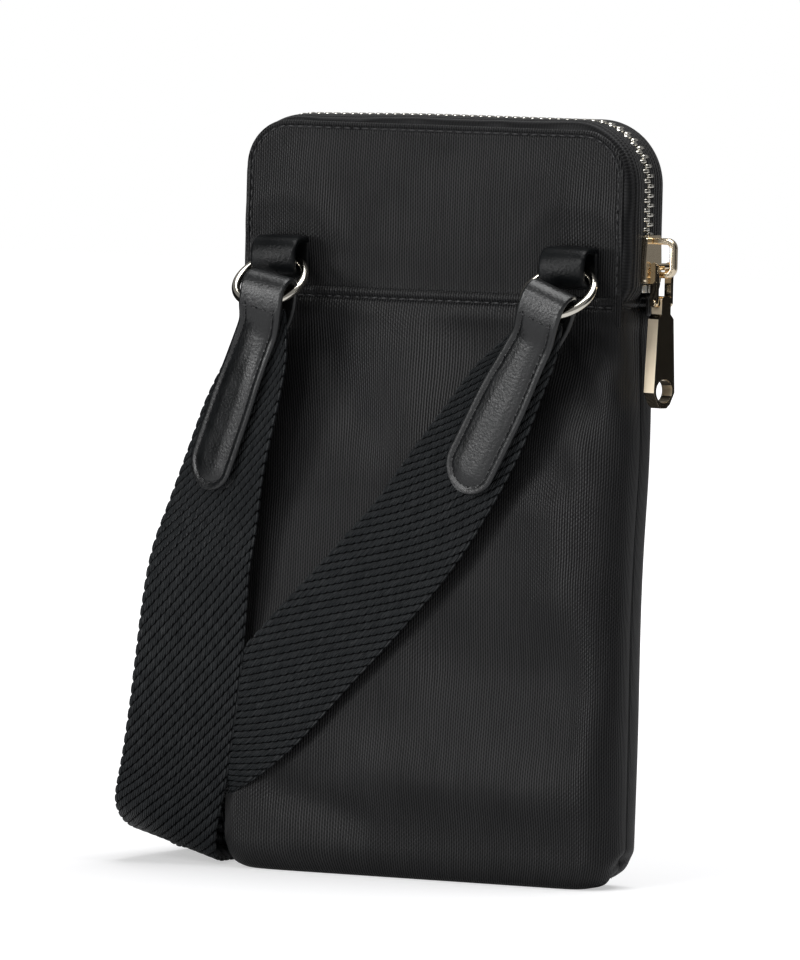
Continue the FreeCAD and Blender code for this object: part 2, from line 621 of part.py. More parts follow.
def ring_tab(name, across):
    """Leather loop with its back on the upper panel."""
    outer = outline(f"{name}_outer", [
        (f"-({TAB_FRONT})", "tab_low", "3.2"), (f"-({TAB_BACK})", "tab_low", "1.8"),
        (f"-({TAB_BACK})", TAB_HIGH, "1.8"), (f"-({TAB_FRONT})", TAB_HIGH, "3.2")], IN_YZ)
    room = outline(f"{name}_room", [
        (f"-({TAB_FRONT}) + tab_leather", "tab_low + tab_leather", "1.6"),
        (f"{HINGE_Y} + ring_rod", "tab_low + tab_leather", "0.4"),
        (f"{HINGE_Y} + ring_rod", f"{TAB_HIGH} - tab_leather", "0.4"),
        (f"-({TAB_FRONT}) + tab_leather", f"{TAB_HIGH} - tab_leather", "1.6")], IN_YZ)
    place(outer, x=f"{across} - tab_width / 2")
    place(room, x=f"{across} - tab_width")
    seat = doc.addObject("Part::Cylinder", f"{name}_seat")
    seat.Placement = Placement(Vector(), Rotation(Vector(0, 1, 0), 90))
    bind(seat, Radius="ring_rod + ring_play", Height="2 * tab_width")
    place(seat, f"{across} - tab_width", HINGE_Y, HINGE_Z)
    eye = fuse(f"{name}_eye", extrude(f"{name}_front", room, "2 * tab_width"), seat)
    return cut(name, extrude(f"{name}_band", outer, "tab_width"), eye)


HINGE_Y = "-(gusset_depth / 2 + tab_leather + ring_rod + ring_play)"
HINGE_Z = "tab_low + tab_rise / 2"
left_ring_tab = ring_tab("left_ring_tab", "-tab_side")
right_ring_tab = ring_tab("right_ring_tab", "tab_side")


def ring(name, across):
    """Round ring that stands off from the panel, its upper rod in the tab."""
    section = doc.addObject("Part::RegularPolygon", f"{name}_section")
    section.Polygon = ROD_SIDES
    section.Placement = Placement(Vector(), IN_XZ)
    bind(section, Circumradius="ring_rod")
    place(section, x="ring_radius")
    hoop = doc.addObject("Part::Revolution", name)
    hoop.Source = section
    hoop.Axis = Vector(0, 0, 1)
    hoop.Angle = 360
    hoop.Solid = True
    hoop.Placement = Placement(Vector(), Rotation(Vector(1, 0, 0), -90 - size("ring_tilt")))
    return place(hoop, across, f"{HINGE_Y} - ring_radius * sin(ring_tilt)",
                 f"{HINGE_Z} - ring_radius * cos(ring_tilt)")


left_ring = ring("left_ring", "-tab_side")
right_ring = ring("right_ring", "tab_side")

# Leather ends: a strip folded over the ring's rod, drawn hanging straight from the rod, then swung.

EYE = "end_eye / 2"
CLAMP = "webbing / 2 + webbing_slack"
INNER_FOLD = "end_fold - end_leather"
TIP_ROUND = "end_width / 2.02"
side_view = [
    (f"-({EYE}) - end_leather", "end_top", "end_fold"), (f"-({EYE}) - end_leather", "-end_open"),
    (f"-({CLAMP}) - end_leather", "-end_close"), (f"-({CLAMP}) - end_leather", "-end_length"),
    (f"-({CLAMP})", "-end_length"), (f"-({CLAMP})", "-end_close"), (f"-({EYE})", "-end_open"),
    (f"-({EYE})", "end_top - end_leather", INNER_FOLD), (EYE, "end_top - end_leather", INNER_FOLD),
    (EYE, "-end_open"), (CLAMP, "-end_close"), (CLAMP, "-end_length"),
    (f"{CLAMP} + end_leather", "-end_length"),
    (f"{CLAMP} + end_leather", "-end_close"), (f"{EYE} + end_leather", "-end_open"),
    (f"{EYE} + end_leather", "end_top", "end_fold")]
front_view = [
    ("-end_narrow / 2", "end_top", "end_corner"), ("-end_narrow / 2", "-end_waist"),
    ("-end_width / 2", "-end_broad"),
    ("-end_width / 2", "-end_length", TIP_ROUND), ("end_width / 2", "-end_length", TIP_ROUND),
    ("end_width / 2", "-end_broad"), ("end_narrow / 2", "-end_waist"),
    ("end_narrow / 2", "end_top", "end_corner")]
end_side = outline("end_side", side_view, IN_YZ)
end_front = outline("end_front", front_view, IN_XZ)
strap_end_form = common("strap_end_form", extrude("end_strip", end_side, "end_width", "end_width"),
                        extrude("end_face", end_front, "end_eye + end_leather", "end_eye + end_leather"))
doc.recompute()


def end_frame(across, swing):
    """Frame of a leather end: its origin beside the ring's rod, its own Z up along the leather."""
    tilt = math.radians(size("ring_tilt"))
    around = math.radians(size("end_follow") * size(swing))
    reach = size("ring_radius")
    spot = Vector(size(across), size(HINGE_Y), size(HINGE_Z))
    down = Vector(0, -math.sin(tilt), -math.cos(tilt))
    spot += down * reach
    spot += (Vector(-math.sin(around), 0, 0) + down * math.cos(around)) * reach
    turn = Rotation(Vector(0, 1, 0), size(swing)).multiply(Rotation(Vector(1, 0, 0), size("end_lean")))
    return Placement(spot + turn.multVec(Vector(0, size("ring_rod"), 0)), turn)


left_frame = end_frame("-tab_side", "left_swing")
right_frame = end_frame("tab_side", "right_swing")
left_strap_end = placed("left_strap_end", strap_end_form.Shape, left_frame)
right_strap_end = placed("right_strap_end", strap_end_form.Shape, right_frame)

# Strap: two ribbons, from inside the leather ends to the put-away length that lies in layers on the floor.

half_web = size("webbing_width / 2")
half_thick = size("webbing / 2")
hank_x = -size("body_width / 2 + hank_gap + webbing_width / 2")
hank_y = size("hank_front")
hank_top = half_thick + (HANK_LAYERS - 1) * size("hank_pitch")


def curve(spots, part):
    """Point on a smooth line through four neighbouring spots, between the middle two."""
    before, start, end, after = spots
    square, cube = part * part, part * part * part
    return ((start * 2) + (end - before) * part + (before * 2 - start * 5 + end * 4 - after) * square
            + (start * 3 - before - end * 3 + after) * cube) * 0.5


def smooth(rows, steps):
    """Rows of vectors made denser along a smooth line."""
    dense = []
    for index in range(len(rows) - 1):
        near = [rows[max(0, min(len(rows) - 1, index + shift))] for shift in (-1, 0, 1, 2)]
        for step in range(steps):
            part = step / steps
            dense.append([curve([row[item] for row in near], part) for item in range(3)])
    dense.append(list(rows[-1]))
    return dense


def ribbon(name, rows, steps):
    """Flat band lofted through rows of place, width direction and half width with half thickness."""
    dense = smooth(rows, steps)
    loops = []
    for index, (spot, across, measure) in enumerate(dense):
        ahead = dense[min(index + 1, len(dense) - 1)][0] - dense[max(index - 1, 0)][0]
        if index == len(dense) - 1:
            ahead = Vector(0, 1, 0)
        side = Vector(across).normalize()
        lift = ahead.cross(side).normalize()
        wide, thick = side * measure.x, lift * measure.y
        corners = [spot - wide - thick, spot + wide - thick, spot + wide + thick, spot - wide + thick]
        loops.append(Part.makePolygon(corners + corners[:1]))
    return held(name, Part.makeLoft(loops, True, True))


def inside_end(frame, depth, share, aside=0.0):
    """Row of a ribbon inside a leather end: depth below the rod, share of the full width, distance aside."""
    return (frame.multVec(Vector(aside, 0, -depth)), frame.Rotation.multVec(Vector(1, 0, 0)),
            Vector(half_web * share, half_thick, 0))


pouch_x = size("body_width / 2")
pouch_y = size("body_depth / 2")
seam_z = size("seam_height")


def over_pouch(share, gap, height, lean):
    """Row of a ribbon before the pouch: shares of half its width and of the seam height, gap off its face."""
    spot = Vector(share * pouch_x, -pouch_y - gap, height * seam_z)
    return spot, Vector(1, 0, -lean).normalize(), Vector(half_web, half_thick, 0)


def by_hank(aside, y, z, lean, turn=0.0):
    """Row of a ribbon near the put-away strap, so far to its right, its right edge lowered and turned."""
    return Vector(hank_x + aside, y, z), Vector(1, turn, -lean).normalize(), Vector(half_web, half_thick, 0)


def end_rows(frame, aside):
    """Rows of a ribbon that widens out of a leather end and drifts aside towards its tip."""
    tip = size("end_length")
    return [inside_end(frame, size("end_close + 1"), 0.5, 0.1 * aside),
            inside_end(frame, tip * 0.5, 0.66, 0.4 * aside),
            inside_end(frame, tip * 0.8, 0.8, 0.75 * aside),
            inside_end(frame, tip + 2, 0.9, aside)]


left_rows = end_rows(left_frame, 4.0) + [
    over_pouch(-1.111, 6.3, 0.524, 0.14),
    over_pouch(-1.160, 6.6, 0.348, 0.14),
    over_pouch(-1.253, 4.0, 0.170, 0.16),
    by_hank(3.1, -12.5, 11.5, 0.30),
    by_hank(1.3, -8.5, 6.0, 0.29),
    by_hank(0.3, -3.0, 3.4, 0.16),
    by_hank(0.0, 2.4, 1.7, 0.04),
    by_hank(0.0, hank_y, half_thick, 0.0),
]
right_rows = end_rows(right_frame, 0.0) + [
    over_pouch(-0.002, 4.3, 0.586, 0.76),
    over_pouch(-0.260, 3.3, 0.486, 0.82),
    over_pouch(-0.528, 2.9, 0.386, 0.80),
    over_pouch(-0.813, 2.5, 0.280, 0.80),
    over_pouch(-1.032, 1.0, 0.219, 0.84),
    over_pouch(-1.162, -1.1, 0.192, 0.78),
    by_hank(7.5, -6.8, hank_top + 7.6, 0.66),
    by_hank(4.0, -1.2, hank_top + 4.0, 0.42),
    by_hank(1.2, 3.8, hank_top + 1.4, 0.14),
    by_hank(0.0, hank_y, hank_top, 0.0),
]
strap_left_run = ribbon("strap_left_run", left_rows, RIBBON_STEPS)
strap_diagonal_run = ribbon("strap_diagonal_run", right_rows, RIBBON_STEPS)


def hank_side(hand):
    """One side of the layered strap's band, seen along X: straight layers joined by half turns."""
    step = size("hank_pitch")
    run = size("hank_run")
    edges = []
    for layer in range(HANK_LAYERS):
        onward = 1 if layer % 2 == 0 else -1
        height = half_thick + layer * step
        begin = hank_y if onward > 0 else hank_y + run
        finish = hank_y + run if onward > 0 else hank_y
        level = height + hand * onward * half_thick
        edges.append((Vector(hank_x, begin, level), Vector(hank_x, finish, level), None))
        if layer == HANK_LAYERS - 1:
            break
        reach = step / 2 - hand * onward * half_thick
        middle = Vector(hank_x, finish + onward * reach, height + step / 2)
        upper = Vector(hank_x, finish, height + step - hand * onward * half_thick)
        edges.append((Vector(hank_x, finish, level), upper, middle))
    return edges


def hank_face():
    """Face of the layered strap's band."""
    shapes = []
    near, far = hank_side(1), hank_side(-1)
    for start, end, middle in near + far:
        curve_piece = Part.LineSegment(start, end) if middle is None else Part.Arc(start, middle, end)
        shapes.append(curve_piece.toShape())
    shapes.append(Part.LineSegment(near[0][0], far[0][0]).toShape())
    shapes.append(Part.LineSegment(near[-1][1], far[-1][1]).toShape())
    return Part.Face(Part.Wire(Part.__sortEdges__(shapes)))


hank_profile = held("hank_profile", hank_face())
strap_hank = doc.addObject("Part::Extrusion", "strap_hank")
strap_hank.Base = hank_profile
strap_hank.DirMode = "Custom"
strap_hank.Dir = Vector(1, 0, 0)
strap_hank.Solid = True
bind(strap_hank, LengthFwd="webbing_width / 2", LengthRev="webbing_width / 2")

doc.recompute()

NODES = (
    back_lower_panel, back_upper_panel, front_lower_panel, front_upper_panel, back_padding, front_padding,
    back_lining, front_lining, back_zip_tape, front_zip_tape, back_zip_teeth, front_zip_teeth, zip_start_stop,
    zip_end_stops, slider_body, slider_crown, pull_link, pull_pin, pull_tab, left_ring_tab, right_ring_tab,
    left_ring, right_ring, left_strap_end, right_strap_end, strap_left_run, strap_hank, strap_diagonal_run,
)

for thing in doc.Objects:
    if "Invalid" in thing.State or "Error" in thing.State:
        raise RuntimeError(f"{thing.Label} did not build: {thing.State}")

os.makedirs("parts", exist_ok=True)
for node in NODES:
    shape = node.Shape
    if shape.isNull() or not shape.isValid() or not shape.Solids:
        raise RuntimeError(f"{node.Label} is not a sound solid")
    shape.exportStep(os.path.join("parts", f"{node.Label}.step"))
    box = shape.BoundBox
    print(f"{node.Label}: {len(shape.Solids)} solids, {shape.Volume:.0f} mm3,"
          f" x {box.XMin:.1f}..{box.XMax:.1f} y {box.YMin:.1f}..{box.YMax:.1f} z {box.ZMin:.1f}..{box.ZMax:.1f}")

print("least gap between layers of the put-away strap", round(size("hank_pitch - webbing"), 3))
print("ring hinge", size(HINGE_Y), size(HINGE_Z), "link bar", size(LINK_X), size(LINK_Z))
print("pin height", size(PIN_Z))
print("eye height", size(EYE_Z), "chain", size(CHAIN), "teeth in a row", tooth_count)
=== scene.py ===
import json
import logging
import math
from dataclasses import dataclass
from enum import Enum
from typing import Any, Sequence

import bmesh
import bpy
import numpy as np
from mathutils import Matrix, Vector


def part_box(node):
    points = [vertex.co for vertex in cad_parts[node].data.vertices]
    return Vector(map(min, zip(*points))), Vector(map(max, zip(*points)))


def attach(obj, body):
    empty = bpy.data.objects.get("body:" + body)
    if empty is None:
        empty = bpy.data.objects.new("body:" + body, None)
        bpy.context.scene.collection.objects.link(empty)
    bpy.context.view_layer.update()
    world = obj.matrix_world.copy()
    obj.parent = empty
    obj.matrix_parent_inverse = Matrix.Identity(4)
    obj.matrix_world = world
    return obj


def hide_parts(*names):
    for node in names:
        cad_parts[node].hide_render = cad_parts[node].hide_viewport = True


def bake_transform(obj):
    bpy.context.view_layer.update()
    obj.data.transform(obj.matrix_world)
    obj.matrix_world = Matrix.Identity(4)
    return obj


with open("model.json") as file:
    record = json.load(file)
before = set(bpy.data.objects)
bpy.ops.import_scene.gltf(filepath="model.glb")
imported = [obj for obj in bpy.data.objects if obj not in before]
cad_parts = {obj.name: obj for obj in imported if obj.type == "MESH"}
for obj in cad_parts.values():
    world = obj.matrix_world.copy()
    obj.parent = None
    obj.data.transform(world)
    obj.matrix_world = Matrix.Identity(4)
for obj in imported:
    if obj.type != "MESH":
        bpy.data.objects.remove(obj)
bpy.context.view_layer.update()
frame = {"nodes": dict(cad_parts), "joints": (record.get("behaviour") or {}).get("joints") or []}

# A flat phone pouch of black padded cloth, with a zip over the top, ring tabs, leather ends and a strap.
# Lengths are millimetres until a mesh is made. Z is up, the ring side faces -Y, the zip slider is at +X.

MM = 0.001
Thing = bpy.types.Object
Material = bpy.types.Material
Node = bpy.types.Node
Socket = bpy.types.NodeSocket
Tree = bpy.types.NodeTree
log = logging.getLogger("pouch")


class Side(Enum):
    """The two faces of the pouch, by the sign of their Y."""

    RING = -1.0
    FAR = 1.0

    @property
    def prefix(self) -> str:
        """First word in the names of this face's pieces."""
        return "back" if self is Side.RING else "front"


def ramp(low: float, high: float, value: np.ndarray) -> np.ndarray:
    """Smooth ramp from 0 at low to 1 at high."""
    part = np.clip((np.asarray(value, float) - low) / (high - low), 0.0, 1.0)
    return part * part * (3.0 - 2.0 * part)


def swell(value: np.ndarray, centre: float, spread: float) -> np.ndarray:
    """Bell-shaped swelling of height 1 round a centre."""
    return np.exp(-(((np.asarray(value, float) - centre) / spread) ** 2))


def unit(vectors: np.ndarray) -> np.ndarray:
    """Vectors of length 1 in the same directions."""
    return vectors / np.linalg.norm(vectors, axis=-1, keepdims=True)


def run_lengths(points: np.ndarray) -> np.ndarray:
    """Length of a line of points from its start to each of them."""
    return np.concatenate([[0.0], np.cumsum(np.linalg.norm(np.diff(points, axis=0), axis=1))])


def node_box(node: str) -> tuple[np.ndarray, np.ndarray]:
    """Lowest and highest corner of a CAD node in millimetres."""
    low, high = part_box(node)
    return np.array(low) / MM, np.array(high) / MM


def joint_of(name: str) -> dict[str, Any]:
    """The frame's entry for a joint."""
    return next(joint for joint in frame["joints"] if joint["name"] == name)


def grid_faces(rows: int, columns: int, around: bool = False, flip: bool = False) -> list[tuple[int, ...]]:
    """Quads of a grid of points.

    Args:
        rows: number of point rows.
        columns: number of points in a row.
        around: whether each row closes on itself.
        flip: whether the quads face the other way.

    Returns:
        Point numbers of each quad.
    """
    last = columns if around else columns - 1
    quads = []
    for row in range(rows - 1):
        for column in range(last):
            after = (column + 1) % columns
            start, above = row * columns, (row + 1) * columns
            quads.append((start + column, start + after, above + after, above + column))
    return [quad[::-1] for quad in quads] if flip else quads


def new_object(name: str, data: bpy.types.ID) -> Thing:
    """Object of a mesh, curve, lamp or camera, in the scene."""
    thing = bpy.data.objects.new(name, data)
    bpy.context.scene.collection.objects.link(thing)
    return thing


def clean_mesh(mesh: bpy.types.Mesh, merge: float = 0.0, flatten: float = 0.0) -> None:
    """Merges double points, joins level faces and turns all faces outward.

    Args:
        mesh: the mesh to clean.
        merge: distance in millimetres within which points are merged, or 0 to keep them all.
        flatten: angle in degrees up to which faces are joined, or 0 to keep them all.
    """
    shell = bmesh.new()
    shell.from_mesh(mesh)
    if merge:
        bmesh.ops.remove_doubles(shell, verts=shell.verts, dist=merge * MM)
    if flatten:
        angle = math.radians(flatten)
        bmesh.ops.dissolve_limit(shell, angle_limit=angle, verts=shell.verts, edges=shell.edges)
    bmesh.ops.recalc_face_normals(shell, faces=shell.faces)
    shell.to_mesh(mesh)
    shell.free()


def make_object(name: str, points: np.ndarray, faces: Sequence[Sequence[int]],
                uv: np.ndarray | None = None, tidy: bool = True) -> Thing:
    """Makes a mesh object from points in millimetres.

    Args:
        name: name of the object.
        points: array of points.
        faces: point numbers of each face.
        uv: flat place of each point on its cloth, in metres.
        tidy: whether to merge double points and turn the faces outward.

    Returns:
        The new object, in the scene.
    """
    mesh = bpy.data.meshes.new(name)
    mesh.from_pydata((points.reshape(-1, 3) * MM).tolist(), [], [tuple(face) for face in faces])
    if uv is not None:
        layer = mesh.uv_layers.new(name="cloth")
        corners = np.empty(len(mesh.loops), int)
        mesh.loops.foreach_get("vertex_index", corners)
        layer.data.foreach_set("uv", uv.reshape(-1, 2)[corners].astype(np.float32).ravel())
    if tidy:
        clean_mesh(mesh, merge=0.002)
    mesh.shade_smooth()
    return new_object(name, mesh)


def loft(name: str, rings: np.ndarray, uv: np.ndarray | None = None) -> Thing:
    """Closed solid through closed rings of points, with both ends filled.

    Args:
        name: name of the object.
        rings: array of rings, points and coordinates.
        uv: flat place of each point.

    Returns:
        The new object.
    """
    rows, columns, _ = rings.shape
    faces = grid_faces(rows, columns, around=True)
    half = columns // 2
    for start in (0, (rows - 1) * columns):
        for step in range(half - 1):
            mirror = columns - 1 - step
            faces.append((start + step, start + step + 1, start + mirror - 1, start + mirror))
    return make_object(name, rings, faces, uv)


def hoop(name: str, rings: np.ndarray) -> Thing:
    """Closed solid whose rings of points follow each other in a loop."""
    rows, columns, _ = rings.shape
    faces = grid_faces(rows + 1, columns, around=True)
    return make_object(name, rings, [tuple(spot % (rows * columns) for spot in face) for face in faces])


def add_modifier(thing: Thing, kind: str, **settings: Any) -> bpy.types.Modifier:
    """Adds a modifier with its settings."""
    modifier = thing.modifiers.new(kind.lower(), kind)
    for key, value in settings.items():
        setattr(modifier, key, value)
    return modifier


def settle(thing: Thing) -> Thing:
    """Turns an object's evaluated shape into a plain mesh object of the same name.

    Args:
        thing: mesh or curve object with modifiers.

    Returns:
        The plain object that takes its place.
    """
    graph = bpy.context.evaluated_depsgraph_get()
    mesh = bpy.data.meshes.new_from_object(thing.evaluated_get(graph), depsgraph=graph)
    name = thing.name
    bpy.data.objects.remove(thing)
    mesh.name = name
    return new_object(name, mesh)


def thicken(thing: Thing, thick: float) -> None:
    """Gives an open cloth its thickness inward, in millimetres, and a smooth surface."""
    add_modifier(thing, "SOLIDIFY", thickness=thick * MM, offset=-1.0)
    add_modifier(thing, "SUBSURF", levels=1, render_levels=1)


def dress(thing: Thing, finish: Material, slot: str, body: str | None, *nodes: str) -> Thing:
    """Gives a piece its finish, its body and the CAD nodes that it stands for.

    Args:
        thing: the piece.
        finish: its material.
        slot: the record's material slot; not used.
        body: CAD body that it rides on, or None where it bends between two.
        nodes: CAD nodes that it replaces.

    Returns:
        The piece.
    """
    thing.data.materials.clear()
    thing.data.materials.append(finish)
    if nodes:
        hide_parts(*nodes)
    if body is not None:
        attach(thing, body)
    log.info("%s: %d faces", thing.name, len(thing.data.polygons))
    return thing


class NodePad:
    """Adds nodes to a tree and joins them."""

    def __init__(self, tree: Tree) -> None:
        """Keeps the tree that nodes go into."""
        self.tree = tree

    def add(self, kind: str, inputs: dict[str | int, Any] | None = None, **settings: Any) -> Node:
        """Adds one node.

        Args:
            kind: the node's type name.
            inputs: values or output sockets for its inputs, by name or number.
            settings: other properties of the node.

        Returns:
            The node.
        """
        node = self.tree.nodes.new(kind)
        for key, value in settings.items():
            setattr(node, key, value)
        for key, value in (inputs or {}).items():
            if isinstance(value, Socket):
                self.tree.links.new(value, node.inputs[key])
            else:
                node.inputs[key].default_value = value
        return node

    def join(self, output: Socket, into: Socket) -> None:
        """Links an output to an input."""
        self.tree.links.new(output, into)

    def math(self, operation: str, first: Any, second: Any = 0.0) -> Socket:
        """Result of a rule on two numbers."""
        return self.add("ShaderNodeMath", {0: first, 1: second}, operation=operation).outputs[0]

    def plus(self, first: Any, second: Any) -> Socket:
        """Sum of two numbers."""
        return self.math("ADD", first, second)

    def times(self, first: Any, second: Any) -> Socket:
        """Product of two numbers."""
        return self.math("MULTIPLY", first, second)


def new_group(name: str, kind: str, inputs: dict[str, str],
              outputs: dict[str, str]) -> tuple[NodePad, Node, Node]:
    """Starts a node group with named sockets.

    Args:
        name: name of the group.
        kind: type of node tree.
        inputs: kind of socket of each named input.
        outputs: kind of socket of each named output.

    Returns:
        A pad for its nodes, its input node and its output node.
    """
    tree = bpy.data.node_groups.new(name, kind)
    for way, sockets in (("INPUT", inputs), ("OUTPUT", outputs)):
        for label, socket in sockets.items():
            tree.interface.new_socket(label, in_out=way, socket_type=f"NodeSocket{socket}")
    pad = NodePad(tree)
    return pad, pad.add("NodeGroupInput"), pad.add("NodeGroupOutput")


def uneven_yarn(pad: NodePad, place: Socket, draw: float, scale: float) -> tuple[Socket, Socket]:
    """Streaks of uneven yarn along a cloth.

    Args:
        pad: the group's nodes.
        place: place on the cloth.
        draw: how much finer the noise is across the cloth than along it.
        scale: scale of the noise.

    Returns:
        The noise itself, and the noise spread from 0 to 1.
    """
    drawn = pad.add("ShaderNodeVectorMath", {0: place, 1: (1.0, draw, 1.0)}, operation="MULTIPLY")
    noise = pad.add("ShaderNodeTexNoise", {"Vector": drawn.outputs[0], "Scale": scale, "Detail": 2.0})
    spread = pad.add("ShaderNodeMapRange", {0: noise.outputs[0], 1: 0.3, 2: 0.7})
    return noise.outputs[0], spread.outputs[0]


def rib_group() -> Tree:
    """Fine ribs along a cloth with staggered floats: a height, a mask that paints the rib tops lighter and
    paints shade into the valleys, and slow streaks.
    """
    pad, given, result = new_group(
        "fine_ribs", "ShaderNodeTree", {"Place": "Vector", "Pitch": "Float", "Float": "Float"},
        {"Height": "Float", "Top": "Float", "Streak": "Float"})
    place = given.outputs["Place"]
    apart = pad.add("ShaderNodeSeparateXYZ", {0: place})
    drift = pad.add("ShaderNodeTexNoise", {"Vector": place, "Scale": 60.0, "Detail": 1.0})
    pitches = pad.math("DIVIDE", apart.outputs[0], given.outputs["Pitch"])
    count = pad.plus(pitches, pad.times(drift.outputs[0], 1.2))
    rib = pad.math("COSINE", pad.times(count, math.tau))
    along = pad.math("DIVIDE", apart.outputs[1], given.outputs["Float"])
    stagger = pad.plus(along, pad.times(pad.math("FLOOR", count), 0.5))
    floats = pad.math("COSINE", pad.times(stagger, math.tau))
    noise, streak = uneven_yarn(pad, place, 0.03, 1300.0)
    height = pad.plus(pad.times(rib, 0.5), pad.times(floats, 0.2))
    pad.join(pad.plus(height, pad.times(noise, 0.25)), result.inputs["Height"])
    # Mask of the rib tops: painted light on the tops and painted shade in the valleys between the ribs.
    pad.join(pad.plus(pad.times(rib, 0.4), pad.plus(pad.times(floats, 0.1), 0.5)), result.inputs["Top"])
    pad.join(streak, result.inputs["Streak"])
    return pad.tree


def twill_group() -> Tree:
    """Slanting twill bands of a webbing: fine yarn as a height and a mask of the bands' tops, which paints
    shade into the lines between them.
    """
    pad, given, result = new_group(
        "twill_bands", "ShaderNodeTree",
        {"Place": "Vector", "Slope": "Float", "Ridge": "Float", "Shift": "Float", "Yarn": "Float",
         "Start": "Float"},
        {"Height": "Float", "Top": "Float", "Streak": "Float"})
    apart = pad.add("ShaderNodeSeparateXYZ", {0: given.outputs["Place"]})
    across, along = apart.outputs[0], apart.outputs[1]
    slid = pad.plus(along, pad.times(across, given.outputs["Slope"]))
    count = pad.math("DIVIDE", pad.plus(slid, given.outputs["Shift"]), given.outputs["Ridge"])
    away = pad.math("ABSOLUTE", pad.math("SUBTRACT", pad.math("FRACT", pad.plus(count, 0.5)), 0.5))
    inward = pad.math("DIVIDE", pad.plus(across, given.outputs["Start"]), given.outputs["Yarn"])
    knot = pad.math("COSINE", pad.times(inward, math.pi))
    reach = pad.plus(pad.times(knot, -0.1), 0.18)
    # Mask that drops to 0 on the lines between the bands: painted shade in the grooves.
    top = pad.add("ShaderNodeMapRange", {0: away, 1: 0.02, 2: reach}, interpolation_type="SMOOTHSTEP")
    yarns = pad.math("DIVIDE", across, given.outputs["Yarn"])
    strand = pad.math("COSINE", pad.times(yarns, math.tau))
    streak = uneven_yarn(pad, given.outputs["Place"], 0.08, 1500.0)[1]
    pad.join(pad.plus(pad.times(strand, 0.5), streak), result.inputs["Height"])
    pad.join(top.outputs[0], result.inputs["Top"])
    pad.join(streak, result.inputs["Streak"])
    return pad.tree


def grain_group() -> Tree:
    """Small rounded grain as on leather, as a height and a mask of its valleys."""
    pad, given, result = new_group(
        "fine_grain", "ShaderNodeTree", {"Place": "Vector", "Scale": "Float"},
        {"Height": "Float", "Valley": "Float"})
    place, scale = given.outputs["Place"], given.outputs["Scale"]
    cells = pad.add("ShaderNodeTexVoronoi", {"Vector": place, "Scale": scale}, feature="SMOOTH_F1")
    fine = pad.add("ShaderNodeTexNoise", {"Vector": place, "Scale": pad.times(scale, 2.5), "Detail": 3.0})
    height = pad.plus(pad.times(cells.outputs["Distance"], -0.7), pad.times(fine.outputs[0], 0.4))
    pad.join(height, result.inputs["Height"])
    pad.join(cells.outputs["Distance"], result.inputs["Valley"])
    return pad.tree


def mottle_group() -> Tree:
    """Slow change of tone over a surface, from 0 to 1."""
    pad, given, result = new_group(
        "slow_mottle", "ShaderNodeTree", {"Place": "Vector", "Scale": "Float"}, {"Tone": "Float"})
    place, scale = given.outputs["Place"], given.outputs["Scale"]
    cloud = pad.add("ShaderNodeTexNoise", {
        "Vector": place, "Scale": scale, "Detail": 4.0, "Roughness": 0.55})
    tone = pad.add("ShaderNodeMapRange", {0: cloud.outputs[0], 1: 0.3, 2: 0.7})
    pad.join(tone.outputs[0], result.inputs["Tone"])
    return pad.tree


RIBS, TWILL, GRAIN, MOTTLE = rib_group(), twill_group(), grain_group(), mottle_group()


def group_node(pad: NodePad, tree: Tree, place: Socket, **values: float) -> Node:
    """Adds a pattern group at a place, with its settings."""
    node = pad.add("ShaderNodeGroup", node_tree=tree)
    pad.join(place, node.inputs["Place"])
    for name, value in values.items():
        node.inputs[name].default_value = value
    return node


